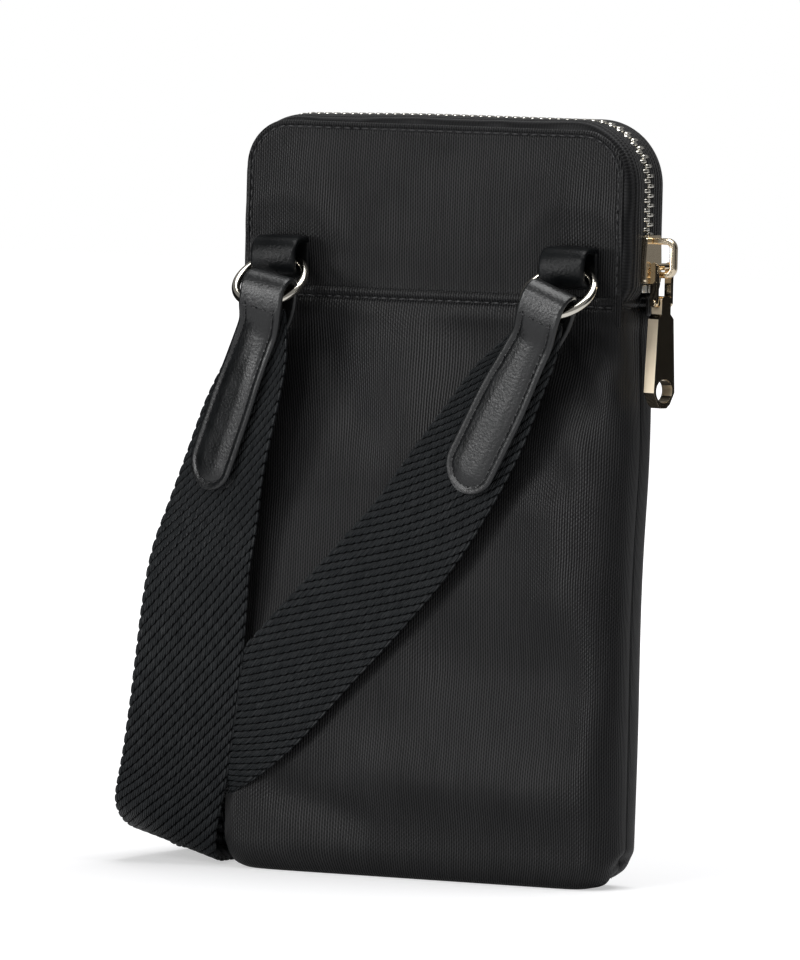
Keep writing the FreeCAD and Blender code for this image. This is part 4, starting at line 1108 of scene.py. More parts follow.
    def hem_line(self, side: Side) -> np.ndarray:
        """Line of the hem's stitches, up one side, over the top and down the other."""
        bend = self.top_round - self.stitch_inset
        corner_x, corner_z = self.half_width - self.top_round, self.top - self.top_round
        turn = np.linspace(0.0, math.pi / 2, 24)
        rise = np.linspace(150.0, corner_z, 16, endpoint=False)
        right = np.concatenate([
            np.stack([np.full_like(rise, corner_x + bend), rise], axis=1),
            np.stack([corner_x + bend * np.cos(turn), corner_z + bend * np.sin(turn)], axis=1),
            np.stack([np.linspace(corner_x, 0.0, 24)[1:], np.full(23, corner_z + bend)], axis=1)])
        flat = np.concatenate([right, (right[:-1] * (-1.0, 1.0))[::-1]])
        x, z = flat[:, 0], flat[:, 1]
        y = side.value * (self.face + self.stand_out(x, z, side) + 0.08)
        return np.stack([x, y, z], axis=1)

    def build_padding(self, body: LowerBody, fill: np.ndarray, finishes: Finishes) -> None:
        """Builds the foam behind the cloth of each half, and gives the lining its finish."""
        for side in Side:
            z = np.linspace(3.0, 136.0, 54)
            low = body.surface(z, (3, 6, 32), fill, side)
            toward = low - outward(low) * (side.value * -1.0) * (body.skin + 1.0)
            x, up = self.grid(inset=2.0)
            sheet = np.stack([x, np.full_like(x, side.value * (self.face - 1.1)), up], axis=2)[:, ::4]
            flip = side is Side.FAR
            faces = grid_faces(*toward.shape[:2], flip=flip)
            first = toward.shape[0] * toward.shape[1]
            above = grid_faces(*sheet.shape[:2], flip=flip)
            faces += [tuple(spot + first for spot in face) for face in above]
            points = np.concatenate([toward.reshape(-1, 3), sheet.reshape(-1, 3)])
            pad = make_object(f"{side.prefix}_foam", points, faces, tidy=False)
            add_modifier(pad, "SOLIDIFY", thickness=body.foam * 0.6 * MM, offset=-1.0)
            dress(pad, finishes.foam, "foam", "pouch", f"{side.prefix}_padding")
            lining = frame["nodes"][f"{side.prefix}_lining"]
            lining.data.materials.clear()
            lining.data.materials.append(finishes.lining)


@dataclass
class Zip:
    """Zip over the sides and top: two tapes, two rows of teeth and the small end clips."""

    top_round: float = 14.0
    foot: float = 146.4
    chain_foot: float = 148.0
    chain_rise: float = 1.25
    lead: float = 15.0
    pitch: float = 2.4
    count: int = 66
    tape: float = 0.55
    right_lift: float = 0.4
    left_sink: float = 0.8
    tape_width: float = 10.4
    clip_bevel: float = 0.22
    profile: tuple[tuple[float, float], ...] = (
        (9.3, -2.4), (9.3, -1.3), (9.2, -0.3), (8.9, 0.45), (8.2, 0.95), (7.1, 1.3), (5.8, 1.48),
        (4.4, 1.54), (3.4, 1.56), (2.9, 1.6), (2.3, 1.62), (1.7, 1.58), (1.25, 1.45))

    def __post_init__(self) -> None:
        """Reads the outline from the frame."""
        high = node_box("back_upper_panel")[1]
        self.half_width, self.top = float(high[0]), float(high[2])

    def way(self, foot: float, steps: int) -> tuple[np.ndarray, np.ndarray]:
        """The panel edge's line from the right foot over the top to the left foot.

        Args:
            foot: height of both feet.
            steps: points on each straight side and corner.

        Returns:
            X and Z of its points, and their outward direction.
        """
        corner_x, corner_z = self.half_width - self.top_round, self.top - self.top_round
        rise = np.linspace(foot, corner_z, steps, endpoint=False)
        turn = np.linspace(0.0, math.pi / 2, steps, endpoint=False)
        level, upright = self.top_round * np.cos(turn), self.top_round * np.sin(turn)
        over = np.linspace(corner_x, -corner_x, 3 * steps, endpoint=False)
        left = np.linspace(corner_z, foot, steps)
        spots = np.concatenate([
            np.stack([np.full_like(rise, self.half_width), rise], axis=1),
            np.stack([corner_x + level, corner_z + upright], axis=1),
            np.stack([over, np.full_like(over, self.top)], axis=1),
            np.stack([-corner_x - upright, corner_z + level], axis=1),
            np.stack([np.full_like(left, -self.half_width), left], axis=1)])
        ahead = unit(np.gradient(spots, axis=0))
        out = np.stack([ahead[:, 1], -ahead[:, 0]], axis=1)
        return spots - out * (self.left_sink * ramp(0.0, 50.0, -spots[:, 0]))[:, None], out

    def tape_points(self, side: Side) -> tuple[np.ndarray, np.ndarray]:
        """Points of one tape's outer face, with their flat places."""
        spots, out = self.way(self.foot, 30)
        length = run_lengths(spots)
        ends = np.minimum(length, length[-1] - length)
        tuck = 2.4 * (1.0 - ramp(0.5, 5.0, ends))
        profile = np.array(self.profile)
        on_right, off_teeth = ramp(0.0, 50.0, spots[:, 0]), ramp(3.0, 5.5, profile[:, 0])
        lift = self.right_lift * on_right[:, None] * off_teeth[None, :]
        rise = profile[None, :, 1] + lift - tuck[:, None]
        rows = spots[:, None, :] + out[:, None, :] * rise[:, :, None]
        across = np.broadcast_to(side.value * profile[None, :, 0], rise.shape)
        points = np.stack([rows[:, :, 0], across, rows[:, :, 1]], axis=2)
        flat = np.stack(np.broadcast_arrays(across * MM, length[:, None] * MM), axis=2)
        return points, flat

    def tooth(self) -> Thing:
        """One tooth of the ring side: legs round the tape's edge and a head past the zip's middle."""
        cuts = ((-2.95, 0.7, 0.3), (-2.75, 1.02, 0.42), (-1.5, 1.15, 0.47), (-0.5, 1.2, 0.47),
                (0.15, 1.12, 0.5), (0.45, 0.9, 0.42), (0.58, 0.5, 0.25))
        soft = 0.16
        rings = []
        for y, tall, long in cuts:
            upper = [(tall, y, long - soft), (tall - soft, y, long),
                     (soft - tall, y, long), (-tall, y, long - soft)]
            rings.append(upper + [(x, y, -z) for x, y, z in reversed(upper)])
        return loft("tooth_pattern", np.array(rings))

    def build(self, finishes: Finishes) -> None:
        """Builds tapes, teeth and end clips."""
        tooth = self.tooth()
        for side in Side:
            points, flat = self.tape_points(side)
            faces = grid_faces(*points.shape[:2], flip=side is Side.RING)
            tape = make_object(f"{side.prefix}_tape", points, faces, flat, tidy=False)
            thicken(tape, self.tape)
            dress(tape, finishes.tape, "zip_tape", "pouch", f"{side.prefix}_zip_tape")
            spots, out = self.way(self.chain_foot, 40)
            line = spots + out * self.chain_rise
            path = np.stack([line[:, 0], np.zeros(len(line)), line[:, 1]], axis=1)
            lead, turn = (self.lead, 0.0) if side is Side.RING else (self.lead + self.pitch / 2, math.pi)
            teeth = grow(line_object(f"{side.prefix}_teeth", [path]), TEETH, Tooth=tooth, Lead=lead * MM,
                         Pitch=self.pitch * MM, Count=self.count, Turn=turn, Metal=finishes.teeth)
            dress(teeth, finishes.teeth, "zip_metal", "pouch", f"{side.prefix}_zip_teeth")
        bpy.data.objects.remove(tooth)
        for node in ("zip_start_stop", "zip_end_stops"):
            dress(softened(node, self.clip_bevel), finishes.teeth, "zip_metal", "pouch", node)


def softened(node: str, bevel: float, segments: int = 3) -> Thing:
    """Copy of a rigid CAD node with its sharp edges rounded, as cast or polished metal has them.

    Args:
        node: name of the CAD node.
        bevel: width of the rounding in millimetres.
        segments: steps of the rounding.

    Returns:
        The new object.
    """
    mesh = frame["nodes"][node].data.copy()
    mesh.name = f"{node}_cast"
    clean_mesh(mesh, merge=0.003, flatten=1.5)
    mesh.shade_smooth()
    thing = new_object(f"{node}_cast", mesh)
    add_modifier(thing, "BEVEL", width=bevel * MM, segments=segments, limit_method="ANGLE",
                 angle_limit=math.radians(32.0), use_clamp_overlap=True)
    add_modifier(thing, "WEIGHTED_NORMAL", keep_sharp=False)
    return thing


@dataclass
class Pull:
    """Slider, crown, link, pin and the pull tab with its eye, all polished light gold."""

    slider_bevel: float = 0.35
    crown_bevel: float = 0.45
    link_bevel: float = 0.25
    pin_bevel: float = 0.15
    tab_bevel: float = 0.95

    def build(self, finishes: Finishes) -> None:
        """Builds each piece from its CAD node."""
        pieces = (("slider_body", self.slider_bevel, "slider"), ("slider_crown", self.crown_bevel, "slider"),
                  ("pull_link", self.link_bevel, "link"), ("pull_pin", self.pin_bevel, "link"),
                  ("pull_tab", self.tab_bevel, "tab"))
        for node, bevel, body in pieces:
            piece = dress(softened(node, bevel), finishes.gold, "pale_gold", body, node)
            if node == "pull_tab":
                self.satin_edge(piece, finishes.satin)

    def satin_edge(self, tab: Thing, satin: Material) -> None:
        """Gives the tab's narrow edges a satin finish."""
        across = Vector(joint_of("pull_tab_swing")["axis"]).normalized()
        tab.data.materials.append(satin)
        for face in tab.data.polygons:
            face.material_index = 1 if abs(face.normal.dot(across)) > 0.9 else 0


@dataclass
class Hanger:
    """One ring with its tab on the panel and the leather end of the strap that hangs from it."""

    name: str
    side: float
    swing: float
    ring_radius: float = 9.0
    ring_rod: float = 1.1
    ring_tilt: float = 50.0
    around: float = 0.0
    top_angle: float = 0.0
    bent_on: float = 1.16
    bend_run: float = 8.0
    twist: float = 0.0
    tab_width: float = 12.6
    tab_leather: float = 1.5
    end_length: float = 52.0
    end_top: float = 6.9
    end_narrow: float = 12.2
    end_width: float = 15.0
    end_leather: float = 1.4
    end_lean: float = 8.0
    fold_gap: float = 3.8
    flat_gap: float = 1.65
    bulge: float = 0.5
    stitch_inset: float = 2.0

    def __post_init__(self) -> None:
        """Reads the hinge from the frame and works out the leather end's own frame."""
        self.hinge = np.array(joint_of(f"{self.name}_ring_swing")["pos_m"], float) / MM
        tilt, around = math.radians(self.ring_tilt), math.radians(self.around)
        down = np.array([0.0, -math.sin(tilt), -math.cos(tilt)])
        self.centre = self.hinge + down * self.ring_radius
        rod = self.centre + self.ring_radius * np.array([
            -math.sin(around), down[1] * math.cos(around), down[2] * math.cos(around)])
        swung = Matrix.Rotation(math.radians(self.swing), 3, "Y")
        self.turn = np.array(swung @ Matrix.Rotation(math.radians(self.end_lean), 3, "X"))
        self.origin = rod + self.turn @ np.array([0.0, 1.7 * self.ring_rod, 0.0])

    def placed(self, points: np.ndarray) -> np.ndarray:
        """Points of the leather end's own frame in the pouch's frame, its top bent as the ring lets it.

        Args:
            points: places across, through and up the straight leather.

        Returns:
            The places on the bent and swung leather.
        """
        steps = np.linspace(0.0, self.end_length + 4.0, 120)
        first, last = math.radians(self.top_angle), math.radians(self.bent_on * self.swing)
        bend = first + (last - first) * ramp(-4.0, self.bend_run, steps) - math.radians(self.swing)
        stride = steps[1] - steps[0]
        aside = np.concatenate([[0.0], np.cumsum(-np.sin(bend[:-1]) * stride)])
        fall = np.concatenate([[0.0], np.cumsum(-np.cos(bend[:-1]) * stride)])
        depth = -points[..., 2]
        angle = np.interp(depth, steps, bend)
        above = np.minimum(depth, 0.0)
        twist = math.radians(self.twist) * ramp(-2.0, 24.0, depth)
        wide = points[..., 0] * np.cos(twist) + points[..., 1] * np.sin(twist)
        y = points[..., 1] * np.cos(twist) - points[..., 0] * np.sin(twist)
        x = np.interp(depth, steps, aside) - above * math.sin(bend[0]) + wide * np.cos(angle)
        z = np.interp(depth, steps, fall) - above * math.cos(bend[0]) - wide * np.sin(angle)
        return np.stack([x, y, z], axis=-1) @ self.turn.T + self.origin

    def ring(self) -> Thing:
        """Round ring of polished rod."""
        about = np.linspace(0.0, math.tau, 96, endpoint=False)
        small = np.linspace(0.0, math.tau, 20, endpoint=False)
        tilt = math.radians(self.ring_tilt)
        down = np.array([0.0, -math.sin(tilt), -math.cos(tilt)])
        aside = np.array([1.0, 0.0, 0.0])
        through = np.cross(aside, down)
        arm = np.cos(about)[:, None] * aside + np.sin(about)[:, None] * down
        radius = self.ring_radius + self.ring_rod * np.cos(small)
        rings = (self.centre + arm[:, None, :] * radius[None, :, None]
                 + through * (self.ring_rod * np.sin(small))[None, :, None])
        return hoop(f"{self.name}_hoop_ring", rings)

    def tab(self) -> Thing:
        """Leather loop round the ring, its back on the panel, with crowned faces and rounded edges."""
        low, high = node_box(f"{self.name}_ring_tab")
        thick = self.tab_leather
        back, front = high[1] - thick / 2, low[1] + thick / 2
        foot, head = low[2] + thick / 2 + 0.9, high[2] - thick / 2 - 0.5
        corners = np.array([(back, foot), (back, head), (front, head), (front, foot)])
        section = strap_section(self.tab_width, thick, crown=0.28, steps=14)
        loop = band(rounded_line(corners, (1.2, 1.6, 4.4, 4.0), 9), section)
        across = np.broadcast_to(self.side + section[:, 0], loop.shape[:2])
        return hoop(f"{self.name}_tab_loop", np.stack([across, loop[:, :, 0], loop[:, :, 1]], axis=2))

    def end_width_at(self, depth: np.ndarray) -> np.ndarray:
        """Half width of the leather at each depth below the rod, round at its tip."""
        half = self.end_narrow / 2 + (self.end_width - self.end_narrow) / 2 * ramp(6.0, 28.0, depth)
        tip = self.end_width / 2
        over = np.clip((depth - (self.end_length - tip)) / tip, 0.0, 0.9995)
        return half * np.sqrt(1.0 - over**2)

    def end_line(self) -> tuple[np.ndarray, np.ndarray]:
        """Middle line of the folded leather from the back tip over the rod to the front tip.

        Returns:
            Depth and Y of its points.
        """
        near_tip = self.end_length - self.end_width / 2 * (1.0 - np.cos(np.linspace(0.0, math.pi / 2, 14)))
        run = np.concatenate([near_tip, np.linspace(self.end_length - 8.6, 0.0, 44)])
        gap = self.flat_gap + (self.fold_gap - self.flat_gap) * (1.0 - ramp(0.0, 8.0, run))
        turn = np.linspace(0.0, math.pi, 15)[1:-1]
        over = -(self.end_top - self.fold_gap) - self.fold_gap * np.sin(turn)
        y = np.concatenate([gap, self.fold_gap * np.cos(turn), -gap[::-1]])
        return np.concatenate([run, over, run[::-1]]), y

    def outer_rise(self, depth: np.ndarray, aside: np.ndarray, half: np.ndarray) -> np.ndarray:
        """How far the leather's outer face rises over its edge: padded middle and sunk stitch line."""
        tip = self.end_width / 2
        from_tip = np.hypot(np.maximum(depth - (self.end_length - tip), 0.0), np.abs(aside))
        edge = np.where(depth > self.end_length - tip, tip - from_tip, half - np.abs(aside))
        padded = self.bulge * ramp(1.9, 5.5, edge) * ramp(1.0, 7.0, depth)
        return padded - 0.32 * swell(edge, self.stitch_inset, 0.45) * ramp(0.0, 2.0, depth)

    def end(self) -> Thing:
        """Folded leather end with its padded face, skived edges and round tips."""
        depth, y = self.end_line()
        z = -depth
        ahead = unit(np.stack([np.gradient(y), np.gradient(z)], axis=1))
        out = np.stack([-ahead[:, 1], ahead[:, 0]], axis=1)
        if out[len(out) // 2, 1] < 0:
            out = -out
        half = np.maximum(self.end_width_at(np.maximum(depth, 0.0)), 0.15)
        rings = []
        for row in range(len(depth)):
            aside, through = strap_section(2 * half[row], self.end_leather, crown=0.0, steps=36).T
            rise = self.outer_rise(np.full_like(aside, depth[row]), aside, half[row])
            lift = through + np.where(through > 0.0, rise, 0.0) * (through / self.end_leather * 2)
            rings.append(np.stack([aside, y[row] + out[row, 0] * lift, z[row] + out[row, 1] * lift], axis=1))
        return loft(f"{self.name}_leather_end", self.placed(np.array(rings)))

    def paint_edges(self, piece: Thing, paint: Material) -> None:
        """Gives the cut edges of the leather their edge paint, made lighter as a painted highlight on the
        rounded edge.
        """
        piece.data.materials.append(paint)
        aside = Vector(self.turn[:, 0].tolist())
        # Narrow side faces take the edge finish: edge paint with a painted highlight.
        for face in piece.data.polygons:
            narrow = face.area < 2.0 * MM * MM
            face.material_index = 1 if abs(face.normal.dot(aside)) > 0.62 and narrow else 0

    def stitch_lines(self) -> list[np.ndarray]:
        """Lines of the stitches on the front and back of the leather end."""
        lines = []
        tip = self.end_width / 2
        turn = np.linspace(0.0, math.pi, 26)
        bow = np.stack([(tip - self.stitch_inset) * np.cos(turn),
                        self.end_length - tip + (tip - self.stitch_inset) * np.sin(turn)], axis=1)
        run = np.linspace(1.0, self.end_length - tip, 32, endpoint=False)
        half = self.end_width_at(run) - self.stitch_inset
        right = np.stack([half, run], axis=1)
        path = np.concatenate([right, bow, (right * (-1.0, 1.0))[::-1]])
        cross = np.stack([np.linspace(-4.0, 4.0, 9), np.full(9, 1.0)], axis=1)
        for face in (-1.0, 1.0):
            for flat in (path, cross):
                gap = self.flat_gap + (self.fold_gap - self.flat_gap) * (1.0 - ramp(0.0, 8.0, flat[:, 1]))
                over = self.outer_rise(flat[:, 1], flat[:, 0], self.end_width_at(flat[:, 1]))
                y = face * (gap + self.end_leather / 2 + over + 0.1)
                lines.append(self.placed(np.stack([flat[:, 0], y, -flat[:, 1]], axis=1)))
        return lines

    def build(self, finishes: Finishes) -> None:
        """Builds the tab, the ring, the leather end and its stitches."""
        body = f"{self.name}_hoop"
        tab = self.tab()
        add_modifier(tab, "SUBSURF", levels=1, render_levels=1)
        dress(tab, finishes.tab, "leather", "pouch", f"{self.name}_ring_tab")
        dress(self.ring(), finishes.pale, "pale_gold", body, f"{self.name}_ring")
        end = dress(self.end(), finishes.leather, "leather", body, f"{self.name}_strap_end")
        self.paint_edges(end, finishes.edge)
        kind = Stitching(length=1.9, spacing=2.4, thickness=0.5, sway=0.12, seed=23)
        kind.sew(f"{self.name}_end_stitches", self.stitch_lines(), finishes.thread, "leather", body)


def rounded_line(corners: np.ndarray, rounding: Sequence[float], steps: int) -> np.ndarray:
    """Closed line through corners, each rounded by a curve.

    Args:
        corners: the corner points in turn.
        rounding: how far from each corner its curve begins.
        steps: points on each curve.

    Returns:
        The line's points.
    """
    line = []
    for number, corner in enumerate(corners):
        before, after = corners[number - 1], corners[(number + 1) % len(corners)]
        start = corner + (before - corner) / np.linalg.norm(before - corner) * rounding[number]
        end = corner + (after - corner) / np.linalg.norm(after - corner) * rounding[number]
        for part in np.linspace(0.0, 1.0, steps):
            line.append(start * (1 - part) ** 2 + corner * 2 * part * (1 - part) + end * part**2)
    return np.array(line)


def band(line: np.ndarray, section: np.ndarray) -> np.ndarray:
    """Places in its plane of a strip that follows a closed line.

    Args:
        line: points of the closed line.
        section: outline of the strip, across it and through it.

    Returns:
        One ring of places for each point of the line.
    """
    ahead = unit(np.roll(line, -1, axis=0) - np.roll(line, 1, axis=0))
    out = np.stack([ahead[:, 1], -ahead[:, 0]], axis=1)
    if np.sum(out * (line - line.mean(axis=0))) < 0:
        out = -out
    return line[:, None, :] + out[:, None, :] * section[None, :, 1:]


def strap_section(width: float, thick: float, crown: float, steps: int) -> np.ndarray:
    """Closed outline of a flat strip: outer face, round edge, inner face, round edge.

    Args:
        width: width of the strip.
        thick: its thickness.
        crown: how far the outer face is crowned.
        steps: points on each face.

    Returns:
        Places across the strip and through it.
    """
    edge = min(thick / 2, width / 2) * 0.98
    flat = np.linspace(-1.0, 1.0, steps) * (width / 2 - edge)
    outer = np.stack([flat, thick / 2 + crown * (1.0 - (flat / (width / 2)) ** 2)], axis=1)
    turn = np.linspace(math.pi / 2, -math.pi / 2, 7)[1:-1]
    right = np.stack([width / 2 - edge + edge * np.cos(turn), thick / 2 * np.sin(turn)], axis=1)
    inner = np.stack([flat[::-1], np.full(steps, -thick / 2)], axis=1)
    return np.concatenate([outer, right, inner, (right * (-1.0, 1.0))[::-1]])


@dataclass
class Webbing:
    """Twill webbing: slanting ridges, each with small floats, and scalloped edges."""

    half_width: float = 13.75
    thick: float = 1.3
    lean: float = 35.0
    ridge: float = 3.3
    relief: float = 0.34
    columns: int = 97

    def cloth(self, name: str, spots: np.ndarray, across: np.ndarray, share: np.ndarray, cup: np.ndarray,
              columns: int | None = None) -> tuple[Thing, float]:
        """Webbing along a line, its rows laid along the ridges.

        Args:
            name: name of the piece.
            spots: points of the strap's middle line.
            across: direction of its width at each point.
            share: share of its full width at each point.
            cup: how far its edges curl forward at each point.
            columns: points across, if not as usual.

        Returns:
            The piece and its length in millimetres.
        """
        columns = columns or self.columns
        length = run_lengths(spots)
        total = float(length[-1])
        lift = unit(np.cross(np.gradient(spots, axis=0), across))
        aside = np.linspace(-1.0, 1.0, columns) * self.half_width
        slope = 1.0 / math.tan(math.radians(self.lean))
        shape = np.array([0.15, 0.9, 1.0, 1.0, 0.9])
        step = self.ridge / len(shape)
        reach = self.half_width * slope
        marks = np.arange(-reach, total + reach + step, step)
        numbers = np.arange(len(marks))
        wanted = marks[:, None] - aside[None, :] * slope
        place = np.clip(wanted, 0.0, total)
        inside = (wanted > 0.0) & (wanted < total)

        def sample(values: np.ndarray) -> np.ndarray:
            """Values of the line at each place."""
            return np.stack([np.interp(place, length, column) for column in values.T], axis=2)

        middle, side, out = sample(spots), sample(across), sample(lift)
        width = np.interp(place, length, share)
        curl = np.interp(place, length, cup)
        ridge = np.where(inside, shape[numbers % len(shape)][:, None], 0.5)
        pits = ((np.arange(columns) // 2) % 2)[None, :] * (numbers % len(shape) == 0)[:, None]
        ridge = np.where(inside & (pits == 1), -0.45, ridge)
        part = np.abs(aside)[None, :] / self.half_width
        edge = np.sqrt(np.clip(1.0 - ramp(0.94, 1.0, part) ** 2 * 0.8, 0.0, 1.0))
        body = (self.thick / 2 - self.relief) * edge
        rise = body + self.relief * ridge * edge
        scallop = 0.42 * (ridge - 0.5) * ramp(0.9, 1.0, part)
        spread = aside[None, :] * width + np.sign(aside)[None, :] * scallop
        bend = (curl * part**2)[:, :, None] * out
        front = middle + side * spread[:, :, None] + out * rise[:, :, None] + bend
        back = middle + side * spread[:, :, None] - out * rise[:, :, None] + bend
        rings = np.concatenate([front, back[:, ::-1]], axis=1)
        flat = np.stack(np.broadcast_arrays(aside[None, :] * MM, place * MM), axis=2)
        flat = np.concatenate([flat, flat[:, ::-1]], axis=1)
        return loft(name, rings, flat), total


def smooth_rows(rows: Sequence[np.ndarray], steps: int) -> np.ndarray:
    """Rows of numbers made denser along a smooth line through them."""
    given = np.array(rows, float)
    padded = np.concatenate([given[:1], given, given[-1:]])
    dense = []
    for number in range(len(given) - 1):
        before, start, end, after = padded[number:number + 4]
        for part in np.linspace(0.0, 1.0, steps, endpoint=False):
            square = (2 * before - 5 * start + 4 * end - after) * part**2
            cube = (3 * start - before - 3 * end + after) * part**3
            dense.append(0.5 * (2 * start + (end - before) * part + square + cube))
    dense.append(given[-1])
    return np.array(dense)


@dataclass
class Strap:
    """The strap's two runs from the leather ends and the put-away length folded in layers behind them."""

    left: Hanger
    right: Hanger
    webbing: Webbing
    hank_run: float = 62.0
    hank_pitch: float = 1.9
    hank_layers: int = 10
    front_gap: float = 26.0
    tie_place: float = 44.0
    tie_width: float = 8.0
    tie_thick: float = 0.7
    tie_gap: float = 0.4
    tie_sink: float = 0.55
    tie_round: float = 1.6

    def __post_init__(self) -> None:
        """Reads the put-away strap's place from the frame."""
        low, high = node_box("strap_hank")
        self.hank_x = float(low[0] + high[0]) / 2
        self.hank_y = float(low[1]) + self.hank_pitch / 2 + self.webbing.thick / 2
        self.half_thick = self.webbing.thick / 2
        self.hank_top = self.half_thick + (self.hank_layers - 1) * self.hank_pitch

    def row(self, spot: tuple[float, float, float], lean: float, turn: float, share: float = 1.0,
            cup: float = 0.0) -> np.ndarray:
        """One row of a run.

        Args:
            spot: its middle.
            lean: how far its right edge hangs lower, for each millimetre of width.
            turn: how far its right edge lies further back, for each millimetre of width.
            share: share of the webbing's full width.
            cup: how far its edges curl forward.

        Returns:
            Spot, direction of the width, share and curl in one row of numbers.
        """
        way = np.array([1.0, turn, -lean])
        return np.concatenate([spot, unit(way), [share, cup]])

    def in_end(self, end: Hanger, x: float, z: float, lean: float, share: float,
               turn: float = 0.02) -> np.ndarray:
        """Row between the two layers of a leather end, at a place seen from the front."""
        normal = end.turn[:, 1]
        y = end.origin[1] - (normal[0] * (x - end.origin[0]) + normal[2] * (z - end.origin[2])) / normal[1]
        return self.row((x, y, z), lean, turn, share)

    def left_rows(self) -> list[np.ndarray]:
        """Rows of the run that hangs beside the pouch, before the slanting run."""
        end, middle, back = self.left, self.hank_x, self.hank_y
        return [
            self.in_end(end, -38.6, 143.0, 0.06, 0.36, 0.0),
            self.in_end(end, -41.6, 131.0, 0.11, 0.62, -0.16),
            self.in_end(end, -47.4, 116.8, 0.16, 0.88, -0.3),
            self.in_end(end, -52.2, 103.7, 0.17, 0.97, -0.3),
            self.in_end(end, -56.4, 90.6, 0.15, 1.02, -0.18),
            self.row((-58.8, -18.9, 77.5), 0.14, 0.04),
            self.row((-60.2, -19.1, 64.4), 0.14, 0.20),
            self.row((-61.4, -19.1, 51.5), 0.14, 0.27),
            self.row((-63.2, -18.4, 38.4), 0.14, 0.28),
            self.row((-66.0, -16.5, 25.2), 0.16, 0.28),
            self.row((middle + 3.4, -12.8, 13.0), 0.32, 0.26),
            self.row((middle + 1.8, -8.5, 7.6), 0.34, 0.14),
            self.row((middle + 1.0, -3.0, 5.2), 0.30, 0.04),
            self.row((middle + 0.4, 4.0, 4.2), 0.24, 0.0),
            self.row((middle, back + 9.0, 2.8), 0.14, 0.0),
            self.row((middle, back + 18.0, 1.2), 0.04, 0.0),
            self.row((middle, back + 26.0, self.half_thick), 0.0, 0.0)]

    def right_rows(self) -> list[np.ndarray]:
        """Rows of the run that slants over the pouch and round its edge."""
        end, middle, back, top = self.right, self.hank_x, self.hank_y, self.hank_top
        return [
            self.in_end(end, 38.6, 143.0, 0.2, 0.38),
            self.in_end(end, 35.0, 136.0, 0.32, 0.52),
            self.in_end(end, 28.4, 127.4, 0.4, 0.70),
            self.in_end(end, 20.2, 114.6, 0.5, 0.85),
            self.in_end(end, 10.0, 100.5, 0.62, 0.94),
            self.row((-0.1, -16.8, 86.7), 0.76, 0.0, 0.98),
            self.row((-13.8, -15.8, 71.9), 0.82, 0.0),
            self.row((-28.0, -15.4, 57.2), 0.8, 0.0),
            self.row((-43.1, -15.0, 41.4), 0.8, 0.0),
            self.row((-54.7, -13.5, 32.4), 0.84, 0.0),
            self.row((-61.6, -11.4, 28.4), 0.78, 0.0),
            self.row((middle + 7.5, -6.8, top + 7.6), 0.66, 0.0),
            self.row((middle + 4.0, -1.2, top + 4.0), 0.42, 0.0),
            self.row((middle + 1.2, 3.8, top + 1.4), 0.14, 0.0),
            self.row((middle, back, top), 0.0, 0.0)]

    def run(self, name: str, node: str, end: Hanger, rows: list[np.ndarray], finishes: Finishes) -> None:
        """Builds one run, which bends between the ring and the pouch.

        Args:
            name: name of the piece.
            node: CAD node that it replaces.
            end: the leather end that it comes from; not used.
            rows: its rows.
            finishes: the materials.
        """
        dense = smooth_rows(rows, 24)
        piece, length = self.webbing.cloth(name, dense[:, :3], unit(dense[:, 3:6]), dense[:, 6], dense[:, 7])
        dress(piece, finishes.webbing, "webbing", None, node)
        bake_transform(piece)

    def hank_line(self) -> np.ndarray:
        """Middle line of the put-away strap, drawn together where it is tied."""
        spots = []
        bend = self.hank_pitch / 2
        for layer in range(self.hank_layers):
            z = self.half_thick + layer * self.hank_pitch
            onward = layer % 2 == 0
            first = self.front_gap * max(0.0, 1.0 - (layer + 1) // 2 / 4.0)
            run = np.linspace(first, self.hank_run, 60)
            spots += [(self.hank_y + part, z) for part in (run if onward else run[::-1])]
            if layer < self.hank_layers - 1:
                for angle in np.linspace(0.0, math.pi, 9)[1:-1]:
                    swing = bend * math.sin(angle)
                    end = self.hank_y + (self.hank_run + swing if onward else first - swing)
                    spots.append((end, z + bend * (1.0 - math.cos(angle))))
        line = np.array(spots)
        tied = swell(line[:, 0], self.tie_place, 14.0)
        middle = (self.half_thick + self.hank_top) / 2
        height = line[:, 1] + (middle - line[:, 1]) * 0.16 * tied
        return np.stack([np.full(len(line), self.hank_x), line[:, 0], height], axis=1)

    def tie(self) -> Thing:
        """Narrow band that holds the put-away strap together."""
        half = self.webbing.half_width + self.tie_gap
        left, right = self.hank_x - half, self.hank_x + half
        low, high = self.tie_sink, self.hank_top + self.half_thick - self.tie_sink
        corners = np.array([(left, low), (left, high), (right, high), (right, low)])
        section = strap_section(self.tie_width, self.tie_thick, crown=0.1, steps=8)
        loop = band(rounded_line(corners, [self.tie_round] * 4, 7), section)
        across = np.broadcast_to(self.tie_place + section[:, 0], loop.shape[:2])
        return hoop("strap_tie", np.stack([loop[:, :, 0], across, loop[:, :, 1]], axis=2))

    def build(self, finishes: Finishes) -> None:
        """Builds both runs, the put-away length and its tie."""
        self.run("strap_beside_pouch", "strap_left_run", self.left, self.left_rows(), finishes)
        self.run("strap_over_pouch", "strap_diagonal_run", self.right, self.right_rows(), finishes)
        line = self.hank_line()
        across = np.broadcast_to((1.0, 0.0, 0.0), line.shape)
        ones = np.ones(len(line))
        flatter = Webbing(relief=0.2)
        hank, length = flatter.cloth("strap_put_away", line, across, ones, ones * 0.0, columns=41)
        dress(hank, finishes.webbing, "webbing", "pouch", "strap_hank")
        dress(self.tie(), finishes.lining, "lining", "pouch")


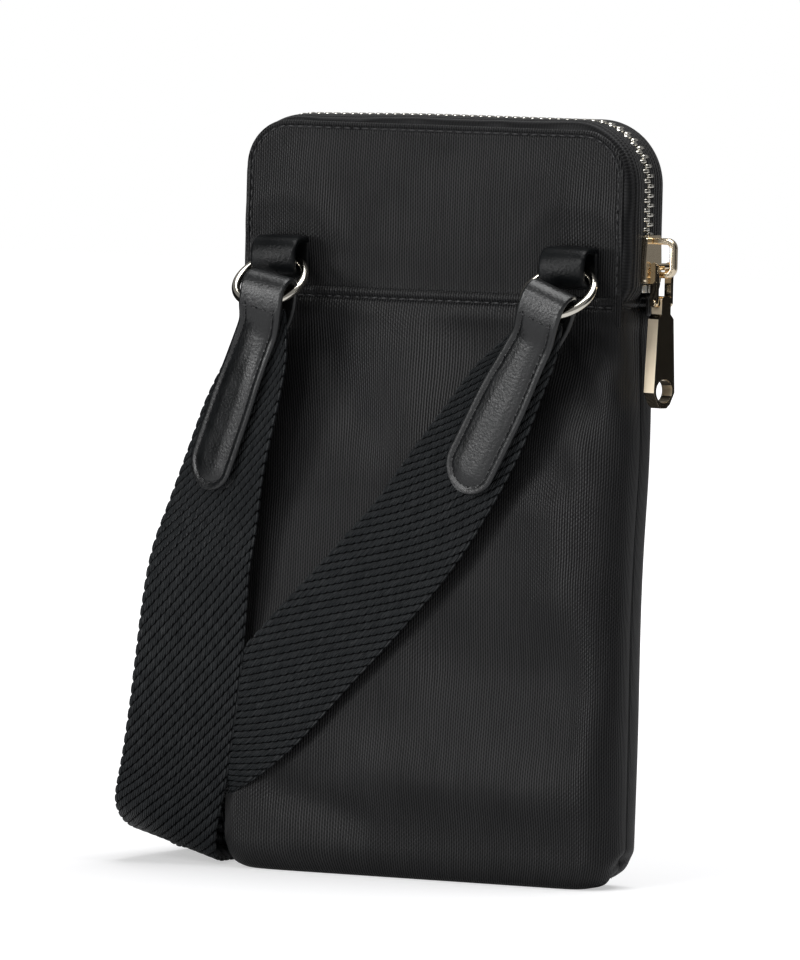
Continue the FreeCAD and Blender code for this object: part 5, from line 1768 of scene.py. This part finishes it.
@dataclass
class Studio:
    """White studio: floor, soft lamps and the camera at the photograph's angle."""

    azimuth: float = 26.5
    elevation: float = 3.0
    roll: float = 1.41
    distance: float = 3000.0
    scale: float = 3.965
    origin_u: float = 444.1
    origin_v: float = 876.2
    picture: tuple[int, int] = (800, 960)
    aim: tuple[float, float, float] = (0.0, 0.0, 0.09)

    def axes(self) -> tuple[np.ndarray, np.ndarray, np.ndarray]:
        """The picture's right and up directions and the direction of view."""
        turn, rise = math.radians(self.azimuth), math.radians(self.elevation)
        right = np.array([math.cos(turn), math.sin(turn), 0.0])
        level = math.cos(rise)
        view = np.array([-math.sin(turn) * level, math.cos(turn) * level, -math.sin(rise)])
        return right, np.cross(right, view), view

    def camera(self) -> None:
        """Sets up the camera."""
        right, up, view = self.axes()
        aside, above = self.picture[0] / 2 - self.origin_u, self.origin_v - self.picture[1] / 2
        target = (right * aside + up * above) / self.scale
        place = target - view * self.distance
        lens = bpy.data.cameras.new("photo_camera")
        lens.sensor_fit = "VERTICAL"
        lens.sensor_height = 36.0
        lens.lens = 36.0 * self.distance / (self.picture[1] / self.scale)
        lens.clip_start = 0.05
        lens.clip_end = 50.0
        eye = new_object("photo_camera", lens)
        level = Matrix(np.stack([right, up, -view], axis=1).tolist())
        turn = level @ Matrix.Rotation(math.radians(self.roll), 3, "Z")
        eye.matrix_world = Matrix.Translation(Vector(place * MM)) @ turn.to_4x4()
        bpy.context.scene.camera = eye

    def lamp(self, name: str, place: tuple[float, float, float], size: tuple[float, float],
             power: float) -> None:
        """Adds one soft lamp that shines at the pouch.

        Args:
            name: name of the lamp.
            place: its position in metres.
            size: its width and height in metres.
            power: its power in watts.
        """
        light = bpy.data.lights.new(name, "AREA")
        light.shape = "RECTANGLE"
        light.size, light.size_y = size
        light.energy = power
        thing = new_object(name, light)
        way = Vector(self.aim) - Vector(place)
        turn = way.to_track_quat("-Z", "Y").to_matrix().to_4x4()
        thing.matrix_world = Matrix.Translation(Vector(place)) @ turn

    def floor(self) -> None:
        """White floor that keeps the soft shadow."""
        half = 4000.0
        points = np.array([(-half, -half, 0.0), (half, -half, 0.0), (half, half, 0.0), (-half, half, 0.0)])
        floor = make_object("studio_floor", points, [(0, 1, 2, 3)], tidy=False)
        material = bpy.data.materials.new("white_floor")
        material.use_nodes = True
        pad = NodePad(material.node_tree)
        shader = material.node_tree.nodes["Principled BSDF"]
        shader.inputs["Base Color"].default_value = (0.62, 0.62, 0.63, 1.0)
        shader.inputs["Roughness"].default_value = 0.7
        shader.inputs["Emission Color"].default_value = (1.0, 1.0, 1.0, 1.0)
        rays = pad.add("ShaderNodeLightPath")
        place = pad.add("ShaderNodeTexCoord").outputs["Object"]
        away = pad.add("ShaderNodeVectorMath", {0: place}, operation="LENGTH").outputs["Value"]
        glow = pad.add("ShaderNodeMapRange", {0: away, 1: 0.12, 2: 0.9, 3: 0.48, 4: 1.0})
        seen = pad.times(rays.outputs["Is Camera Ray"], glow.outputs[0])
        pad.join(seen, shader.inputs["Emission Strength"])
        floor.data.materials.append(material)

    def dark_panels(self) -> None:
        """Black panels at the right and left, which darken what the pouch's sides and metal reflect."""
        points = np.array([
            (420.0, 620.0, 0.0), (900.0, -60.0, 0.0), (900.0, -60.0, 620.0), (420.0, 620.0, 620.0),
            (-340.0, 200.0, 0.0), (-340.0, -200.0, 0.0), (-340.0, -200.0, 300.0), (-340.0, 200.0, 300.0)])
        panel = make_object("studio_flags", points, [(0, 1, 2, 3), (4, 5, 6, 7)], tidy=False)
        material = bpy.data.materials.new("black_panel")
        material.use_nodes = True
        shader = material.node_tree.nodes["Principled BSDF"]
        shader.inputs["Base Color"].default_value = (0.01, 0.01, 0.01, 1.0)
        shader.inputs["Roughness"].default_value = 0.9
        shader.inputs["Specular IOR Level"].default_value = 0.1
        panel.data.materials.append(material)
        panel.visible_camera = False
        panel.visible_shadow = False

    def world(self) -> None:
        """White surroundings, at a plain level for the light and at full white for the eye."""
        world = bpy.data.worlds.new("white_studio")
        bpy.context.scene.world = world
        world.use_nodes = True
        pad = NodePad(world.node_tree)
        shade = world.node_tree.nodes["Background"]
        shade.inputs["Color"].default_value = (1.0, 1.0, 1.0, 1.0)
        rays = pad.add("ShaderNodeLightPath")
        strength = pad.add("ShaderNodeMapRange", {0: rays.outputs["Is Camera Ray"], 3: 0.2, 4: 1.0})
        pad.join(strength.outputs[0], shade.inputs["Strength"])

    def build(self) -> None:
        """Builds the whole studio."""
        self.floor()
        self.world()
        self.camera()
        self.lamp("left_softbox", (-0.92, -1.33, 0.22), (0.44, 0.42), 7.0)
        self.lamp("front_softbox", (-0.3, -1.8, 1.0), (0.9, 0.7), 15.0)
        self.lamp("top_softbox", (0.3, 0.15, 1.6), (1.4, 1.4), 24.0)
        self.dark_panels()
        bpy.context.scene.view_settings.view_transform = "Standard"


def main() -> None:
    """Builds the pouch piece by piece and then the studio round it."""
    logging.basicConfig(level=logging.INFO, format="%(name)s: %(message)s")
    finishes = Finishes()
    body = LowerBody()
    panels = UpperPanels()
    left = Hanger("left", -panels.tab_side, 22.0, around=-12.0, top_angle=6.0, bent_on=1.05, twist=19.0)
    right = Hanger("right", panels.tab_side, 30.0, around=8.0, top_angle=18.0, bent_on=1.0, twist=6.0)
    fill = body.build(finishes)
    panels.build(finishes)
    panels.build_padding(body, fill, finishes)
    Zip().build(finishes)
    Pull().build(finishes)
    left.build(finishes)
    right.build(finishes)
    Strap(left, right, Webbing()).build(finishes)
    Studio().build()


if __name__ == "__main__":
    main()
